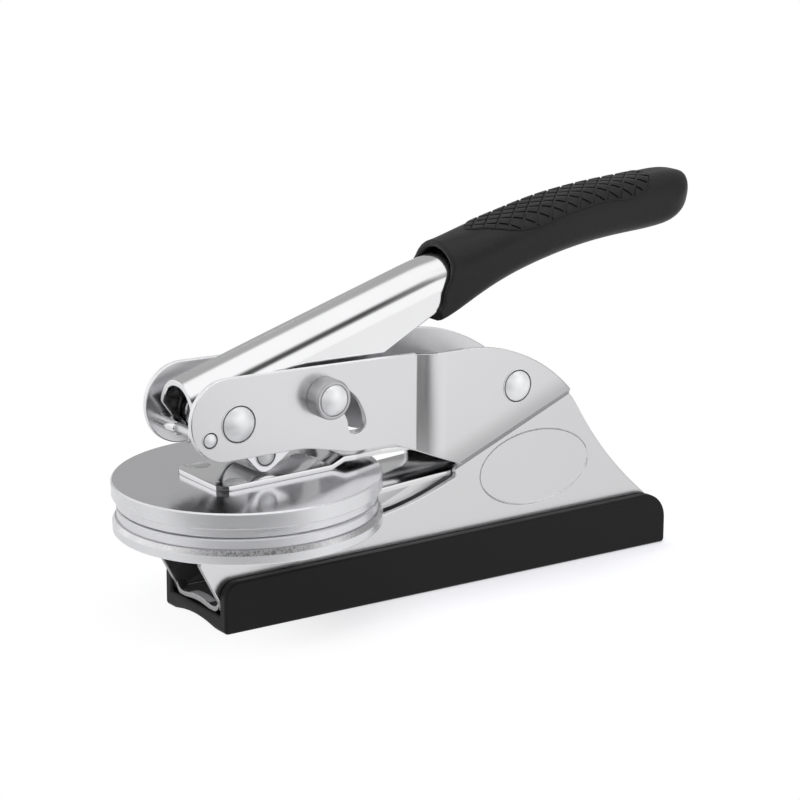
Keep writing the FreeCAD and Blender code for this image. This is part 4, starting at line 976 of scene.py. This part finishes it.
def lay_on(piece, target, lift):
    """Drop a flat piece onto the grip from above."""
    add_modifier(piece, "SHRINKWRAP", target=target, wrap_method="PROJECT",
                 use_project_z=True, use_negative_direction=True,
                 use_positive_direction=False, offset=lift)
    apply_modifiers(piece)


def off_patch(face):
    """True for a face well outside the patch."""
    spot = middle(face)
    return abs(spot.y) > 9.0 or not 7.0 < spot.x < 56.0


def make_pads(sizes, skin):
    """Square pads set cornerwise, cut to the patch and laid on the grip."""
    count = 26
    bpy.ops.object.select_all(action="DESELECT")
    bpy.ops.mesh.primitive_grid_add(x_subdivisions=count, y_subdivisions=count,
                                    size=count * sizes.pad_side,
                                    location=(PATCH_MIDDLE * MM, 0, ABOVE_GRIP),
                                    rotation=(0, 0, math.radians(45)))
    pads = bpy.context.object
    pads.name = "grip_pads"
    bpy.ops.object.transform_apply(location=True, rotation=True, scale=True)
    edit(pads)
    choose(pads, "faces", off_patch)
    bpy.ops.mesh.delete(type="FACE")
    bpy.ops.mesh.select_all(action="SELECT")
    bpy.ops.mesh.inset(thickness=sizes.pad_gap / 2, use_individual=True)
    bpy.ops.mesh.select_all(action="INVERT")
    bpy.ops.mesh.delete(type="FACE")
    leave()
    keep_patch(pads)
    edit(pads)
    bpy.ops.mesh.select_all(action="SELECT")
    bpy.ops.mesh.remove_doubles(threshold=0.00006)
    bpy.ops.mesh.subdivide(number_cuts=1)
    leave()
    lay_on(pads, skin, 0.0)
    add_modifier(pads, "SOLIDIFY", thickness=sizes.pad_rise, offset=1.0)
    add_modifier(pads, "BEVEL", width=0.00007, segments=2, limit_method="ANGLE",
                 angle_limit=math.radians(50), use_clamp_overlap=True)
    apply_modifiers(pads)
    smooth(pads, 30.0)
    return pads


def make_patch_shade_sheet(skin):
    """Thin sheet in painted groove shade under the pads; only its outline is laid on the grip.

    Its inner part stays flat below the grip's own skin, which the grooves show."""
    bpy.ops.object.select_all(action="DESELECT")
    bpy.ops.mesh.primitive_grid_add(x_subdivisions=80, y_subdivisions=28, size=1.0,
                                    location=(PATCH_MIDDLE * MM, 0, ABOVE_GRIP))
    floor = bpy.context.object
    floor.name = "grip_patch_floor"
    floor.scale = (PATCH_SHEET[0] * MM, PATCH_SHEET[1] * MM, 1.0)
    bpy.ops.object.transform_apply(location=True, rotation=True, scale=True)
    keep_patch(floor)
    lay_on(floor, skin, 0.00002)
    add_modifier(floor, "SOLIDIFY", thickness=0.00003, offset=1.0)
    apply_modifiers(floor)
    smooth(floor, 40.0)
    return floor


def make_patch_bead(sizes, skin):
    """Fine raised bead round the patch."""
    bead = patch_line()
    bead.name = "grip_patch_bead"
    lay_on(bead, skin, 0.0)
    take(bead)
    bpy.ops.object.convert(target="CURVE")
    bead = bpy.context.object
    bead.data.bevel_depth = sizes.patch_bead
    bead.data.bevel_resolution = 3
    bpy.ops.object.convert(target="MESH")
    bead = bpy.context.object
    edit(bead)
    bpy.ops.mesh.select_all(action="SELECT")
    bpy.ops.mesh.remove_doubles(threshold=0.000005)
    bpy.ops.mesh.normals_make_consistent(inside=False)
    leave()
    smooth(bead, 60.0)
    return bead


class EMBOSSER_OT_grip(bpy.types.Operator):
    """Make the moulded grip with its field of square pads"""
    bl_idname = "embosser.grip"
    bl_label = "Grip"

    def execute(self, context):
        sizes = context.scene.embosser_sizes
        grip = copy_of("grip", "moulded_grip")
        skin = copy_of("grip", "grip_skin")
        add_modifier(grip, "REMESH", mode="VOXEL", voxel_size=sizes.grip_grid)
        add_modifier(grip, "SMOOTH", factor=0.5, iterations=4)
        apply_modifiers(grip)
        smooth(grip, 60.0)
        paint(grip, "grip plastic")
        settle(grip, "handle", "grip_plastic", "grip")
        pads = make_pads(sizes, skin)
        floor = make_patch_shade_sheet(skin)
        bead = make_patch_bead(sizes, skin)
        # the patch's sheet takes the painted groove shade
        for piece, finish in ((pads, "grip plastic"), (floor, "grip groove"),
                              (bead, "grip plastic")):
            paint(piece, finish)
            settle(piece, "handle", "grip_plastic")
        bpy.data.objects.remove(skin)
        return {"FINISHED"}


class EMBOSSER_OT_finishes(bpy.types.Operator):
    """Make the finishes of all pieces"""
    bl_idname = "embosser.finishes"
    bl_label = "Finishes"

    def execute(self, context):
        make_finishes(context.scene.embosser_colours)
        return {"FINISHED"}


# ---------------------------------------------------------------------------
# Stage
# ---------------------------------------------------------------------------

# where the camera stands, the way it looks and its roll
CAMERA_PLACE = Vector((-0.29768, -0.42431, 0.17072))
CAMERA_AZIMUTH, CAMERA_DIP, CAMERA_ROLL = -34.5, 14.66, 0.3
CAMERA_LENS = 123.43


def camera_turn():
    """Rotation of the camera from its azimuth, its dip and its roll."""
    side_turn, dip = math.radians(CAMERA_AZIMUTH), math.radians(CAMERA_DIP)
    roll = math.radians(CAMERA_ROLL)
    right = Vector((math.cos(side_turn), math.sin(side_turn), 0))
    ahead = Vector((-math.sin(side_turn) * math.cos(dip),
                    math.cos(side_turn) * math.cos(dip), -math.sin(dip)))
    up = right.cross(ahead)
    rolled_right = math.cos(roll) * right + math.sin(roll) * up
    rolled_up = math.cos(roll) * up - math.sin(roll) * right
    return Matrix((rolled_right, rolled_up, -ahead)).transposed()


def add_lamp(name, place, target, width, height, power):
    """Soft lamp that lights the pieces and isn't seen in polished metal."""
    bpy.ops.object.light_add(type="AREA", location=place)
    lamp = bpy.context.object
    lamp.name = name
    lamp.data.shape = "RECTANGLE"
    lamp.data.size, lamp.data.size_y = width, height
    lamp.data.energy = power
    lamp.visible_glossy = False
    ahead = Vector(target) - Vector(place)
    lamp.rotation_euler = ahead.to_track_quat("-Z", "Y").to_euler()


def less(tree, value, mask, share):
    """A value, less a share of it where the mask is one."""
    return maths(tree, "SUBTRACT", value, maths(tree, "MULTIPLY", mask, share))


def to_the_right(away):
    """Level direction to the camera's right, from the level one away from it."""
    return away[1], -away[0], 0.0


def make_world(away):
    """Studio: white boxes overhead and in front, grey behind the table.

    The even part lights the pieces; polished metal sees the boxes."""
    world = bpy.data.worlds.new("studio")
    bpy.context.scene.world = world
    world.use_nodes = True
    tree = world.node_tree
    tree.nodes.clear()
    rays = tree.nodes.new("ShaderNodeLightPath")
    towards = tree.nodes.new("ShaderNodeTexCoord").outputs["Generated"]
    height = node(tree, "ShaderNodeSeparateXYZ", [("Vector", towards)]).outputs["Z"]
    behind = part_along(tree, towards, away)
    sideways = part_along(tree, towards, to_the_right(away))
    # grey wall behind, up to the box overhead and open on the left
    overhead = ramp(tree, height, 0.82, 0.95)
    back_wall = maths(tree, "MULTIPLY", ramp(tree, behind, -0.25, 0.25),
                      maths(tree, "SUBTRACT", 1.0, overhead))
    back_wall = maths(tree, "MULTIPLY", back_wall, ramp(tree, sideways, -0.80, -0.50))
    # narrow gap between the box overhead and the box in front
    gap = maths(tree, "MULTIPLY", ramp(tree, height, 0.48, 0.63),
                ramp(tree, height, 0.87, 0.73))
    gap = maths(tree, "MULTIPLY", gap, ramp(tree, behind, -0.2, -0.45))
    # the unlit part of the room, low down in front
    room = maths(tree, "MULTIPLY", ramp(tree, height, 0.34, 0.20),
                 ramp(tree, behind, -0.84, -0.95))
    bright = 1.06
    for mask, share in ((back_wall, 0.62), (gap, 0.98), (room, 0.85)):
        bright = less(tree, bright, mask, share)
    shine = node(tree, "ShaderNodeBackground", [("Color", (1, 1, 1, 1)), ("Strength", bright)])
    lit = node(tree, "ShaderNodeBackground", [("Color", (0.96, 0.98, 1, 1)),
                                              ("Strength", 0.45)])
    seen = node(tree, "ShaderNodeBackground", [("Color", (1, 1, 1, 1)), ("Strength", 1.0)])
    glossy = node(tree, "ShaderNodeMixShader", [(0, rays.outputs["Is Glossy Ray"]),
                                                (1, lit.outputs[0]), (2, shine.outputs[0])])
    mixed = node(tree, "ShaderNodeMixShader", [(0, rays.outputs["Is Camera Ray"]),
                                               (1, glossy.outputs[0]), (2, seen.outputs[0])])
    out = tree.nodes.new("ShaderNodeOutputWorld")
    tree.links.new(mixed.outputs[0], out.inputs["Surface"])


# half length and half width of the shoe in metres
SHOE_HALF = (0.0525, 0.011, 0.0)
# how far the table lies under the shoe's foot
TABLE_GAP = 0.00005


def make_table(tone, away):
    """Pale table: white to the camera with soft shadows near the embosser."""
    bpy.ops.mesh.primitive_plane_add(size=40.0, location=(0, 0, -TABLE_GAP))
    table = bpy.context.object
    table.name = "table"
    tree, shader, place = new_material("pale table")
    shader.inputs["Base Color"].default_value = (*tone, 1)
    shader.inputs["Roughness"].default_value = 0.6
    shader.inputs["Specular IOR Level"].default_value = 0.0
    rays = tree.nodes.new("ShaderNodeLightPath")
    # distance from the shoe's rectangle
    off = node(tree, "ShaderNodeVectorMath", [(0, place)], operation="ABSOLUTE").outputs[0]
    for kind, value in (("SUBTRACT", SHOE_HALF), ("MAXIMUM", (0.0, 0.0, 0.0))):
        off = node(tree, "ShaderNodeVectorMath", [(0, off), (1, value)],
                   operation=kind).outputs[0]
    distance = node(tree, "ShaderNodeVectorMath", [(0, off)], operation="LENGTH")
    # what the camera sees: plain white, with the lamps' shadows close by
    white = node(tree, "ShaderNodeEmission", [("Color", (1, 1, 1, 1)), ("Strength", 1.0)])
    lift = node(tree, "ShaderNodeEmission", [("Color", (0.985, 0.98, 1, 1)),
                                             ("Strength", 0.39)])
    dull = node(tree, "ShaderNodeBsdfDiffuse", [("Color", (0.60, 0.60, 0.62, 1))])
    shaded = node(tree, "ShaderNodeAddShader", [(0, lift.outputs[0]), (1, dull.outputs[0])])
    # the shadow fades away from the shoe and under the dies
    rearwards = node(tree, "ShaderNodeSeparateXYZ", [(0, place)]).outputs["X"]
    shade = maths(tree, "MULTIPLY", ramp(tree, distance.outputs["Value"], 0.034, 0.006),
                  ramp(tree, rearwards, -0.056, -0.002, 0.10, 1.0))
    seen = node(tree, "ShaderNodeMixShader", [(0, shade), (1, white.outputs[0]),
                                              (2, shaded.outputs[0])])
    # what polished metal sees: a sheet of paper that ends in front, on a dark desk
    facing = part_along(tree, place, away)
    sideways = part_along(tree, place, to_the_right(away))
    dark = maths(tree, "MULTIPLY", ramp(tree, facing, -0.07, -0.12),
                 ramp(tree, sideways, 0.10, 0.05))
    dark = maths(tree, "MULTIPLY", dark, ramp(tree, facing, -0.42, -0.26))
    # painted shadow: a little grey under the embosser, in what polished metal sees of the
    # table
    near = maths(tree, "MULTIPLY", ramp(tree, facing, -0.09, -0.01),
                 ramp(tree, facing, 0.06, 0.02))
    glow = less(tree, less(tree, 0.94, dark, 0.87), near, 0.13)
    paper = node(tree, "ShaderNodeEmission", [("Color", (1, 1, 1, 1)), ("Strength", glow)])
    plain = node(tree, "ShaderNodeMixShader", [(0, rays.outputs["Is Glossy Ray"]),
                                               (1, shader.outputs[0]), (2, paper.outputs[0])])
    both = node(tree, "ShaderNodeMixShader", [(0, rays.outputs["Is Camera Ray"]),
                                              (1, plain.outputs[0]), (2, seen.outputs[0])])
    tree.links.new(both.outputs[0], tree.nodes["Material Output"].inputs["Surface"])
    table.data.materials.append(bpy.data.materials["pale table"])


class EMBOSSER_OT_stage(bpy.types.Operator):
    """Make the table, the lamps and the camera"""
    bl_idname = "embosser.stage"
    bl_label = "Stage"

    def execute(self, context):
        side_turn = math.radians(CAMERA_AZIMUTH)
        away = (-math.sin(side_turn), math.cos(side_turn), 0.0)
        make_world(away)
        make_table(context.scene.embosser_colours.table, away)
        add_lamp("overhead", (0.0, 0.05, 0.9), (0, 0, 0), 0.9, 0.7, 7.0)
        add_lamp("front", (0.35, -0.75, 0.45), (0, 0, 0.03), 0.6, 0.5, 3.0)
        bpy.ops.object.camera_add(location=CAMERA_PLACE)
        camera = context.object
        camera.matrix_world = Matrix.Translation(CAMERA_PLACE) @ camera_turn().to_4x4()
        camera.data.lens = CAMERA_LENS
        camera.data.sensor_width = 36.0
        camera.data.clip_start, camera.data.clip_end = 0.01, 20.0
        context.scene.camera = camera
        context.scene.view_settings.view_transform = "Standard"
        return {"FINISHED"}


# ---------------------------------------------------------------------------
# Add-on
# ---------------------------------------------------------------------------

class EMBOSSER_PT_panel(bpy.types.Panel):
    """Lists the pieces of the embosser"""
    bl_idname = "EMBOSSER_PT_panel"
    bl_label = "Seal embosser"
    bl_space_type = "VIEW_3D"
    bl_region_type = "UI"
    bl_category = "Embosser"

    def draw(self, context):
        for operator in OPERATORS:
            self.layout.operator(operator.bl_idname)


OPERATORS = (EMBOSSER_OT_finishes, EMBOSSER_OT_stage, EMBOSSER_OT_shoe, EMBOSSER_OT_frame,
             EMBOSSER_OT_rivets, EMBOSSER_OT_dies, EMBOSSER_OT_leaves, EMBOSSER_OT_lever,
             EMBOSSER_OT_springs, EMBOSSER_OT_knobs, EMBOSSER_OT_grip)
CLASSES = (EmbosserSizes, EmbosserColours, *OPERATORS, EMBOSSER_PT_panel)


def register():
    for item in CLASSES:
        bpy.utils.register_class(item)
    bpy.types.Scene.embosser_sizes = PointerProperty(type=EmbosserSizes)
    bpy.types.Scene.embosser_colours = PointerProperty(type=EmbosserColours)


def unregister():
    del bpy.types.Scene.embosser_colours
    del bpy.types.Scene.embosser_sizes
    for item in reversed(CLASSES):
        bpy.utils.unregister_class(item)


def main():
    register()
    bpy.ops.embosser.finishes()
    bpy.ops.embosser.stage()
    bpy.ops.embosser.shoe()
    bpy.ops.embosser.frame()
    bpy.ops.embosser.rivets()
    bpy.ops.embosser.dies()
    bpy.ops.embosser.leaves()
    bpy.ops.embosser.lever()
    bpy.ops.embosser.springs()
    bpy.ops.embosser.knobs()
    bpy.ops.embosser.grip()


if __name__ == "__main__":
    main()
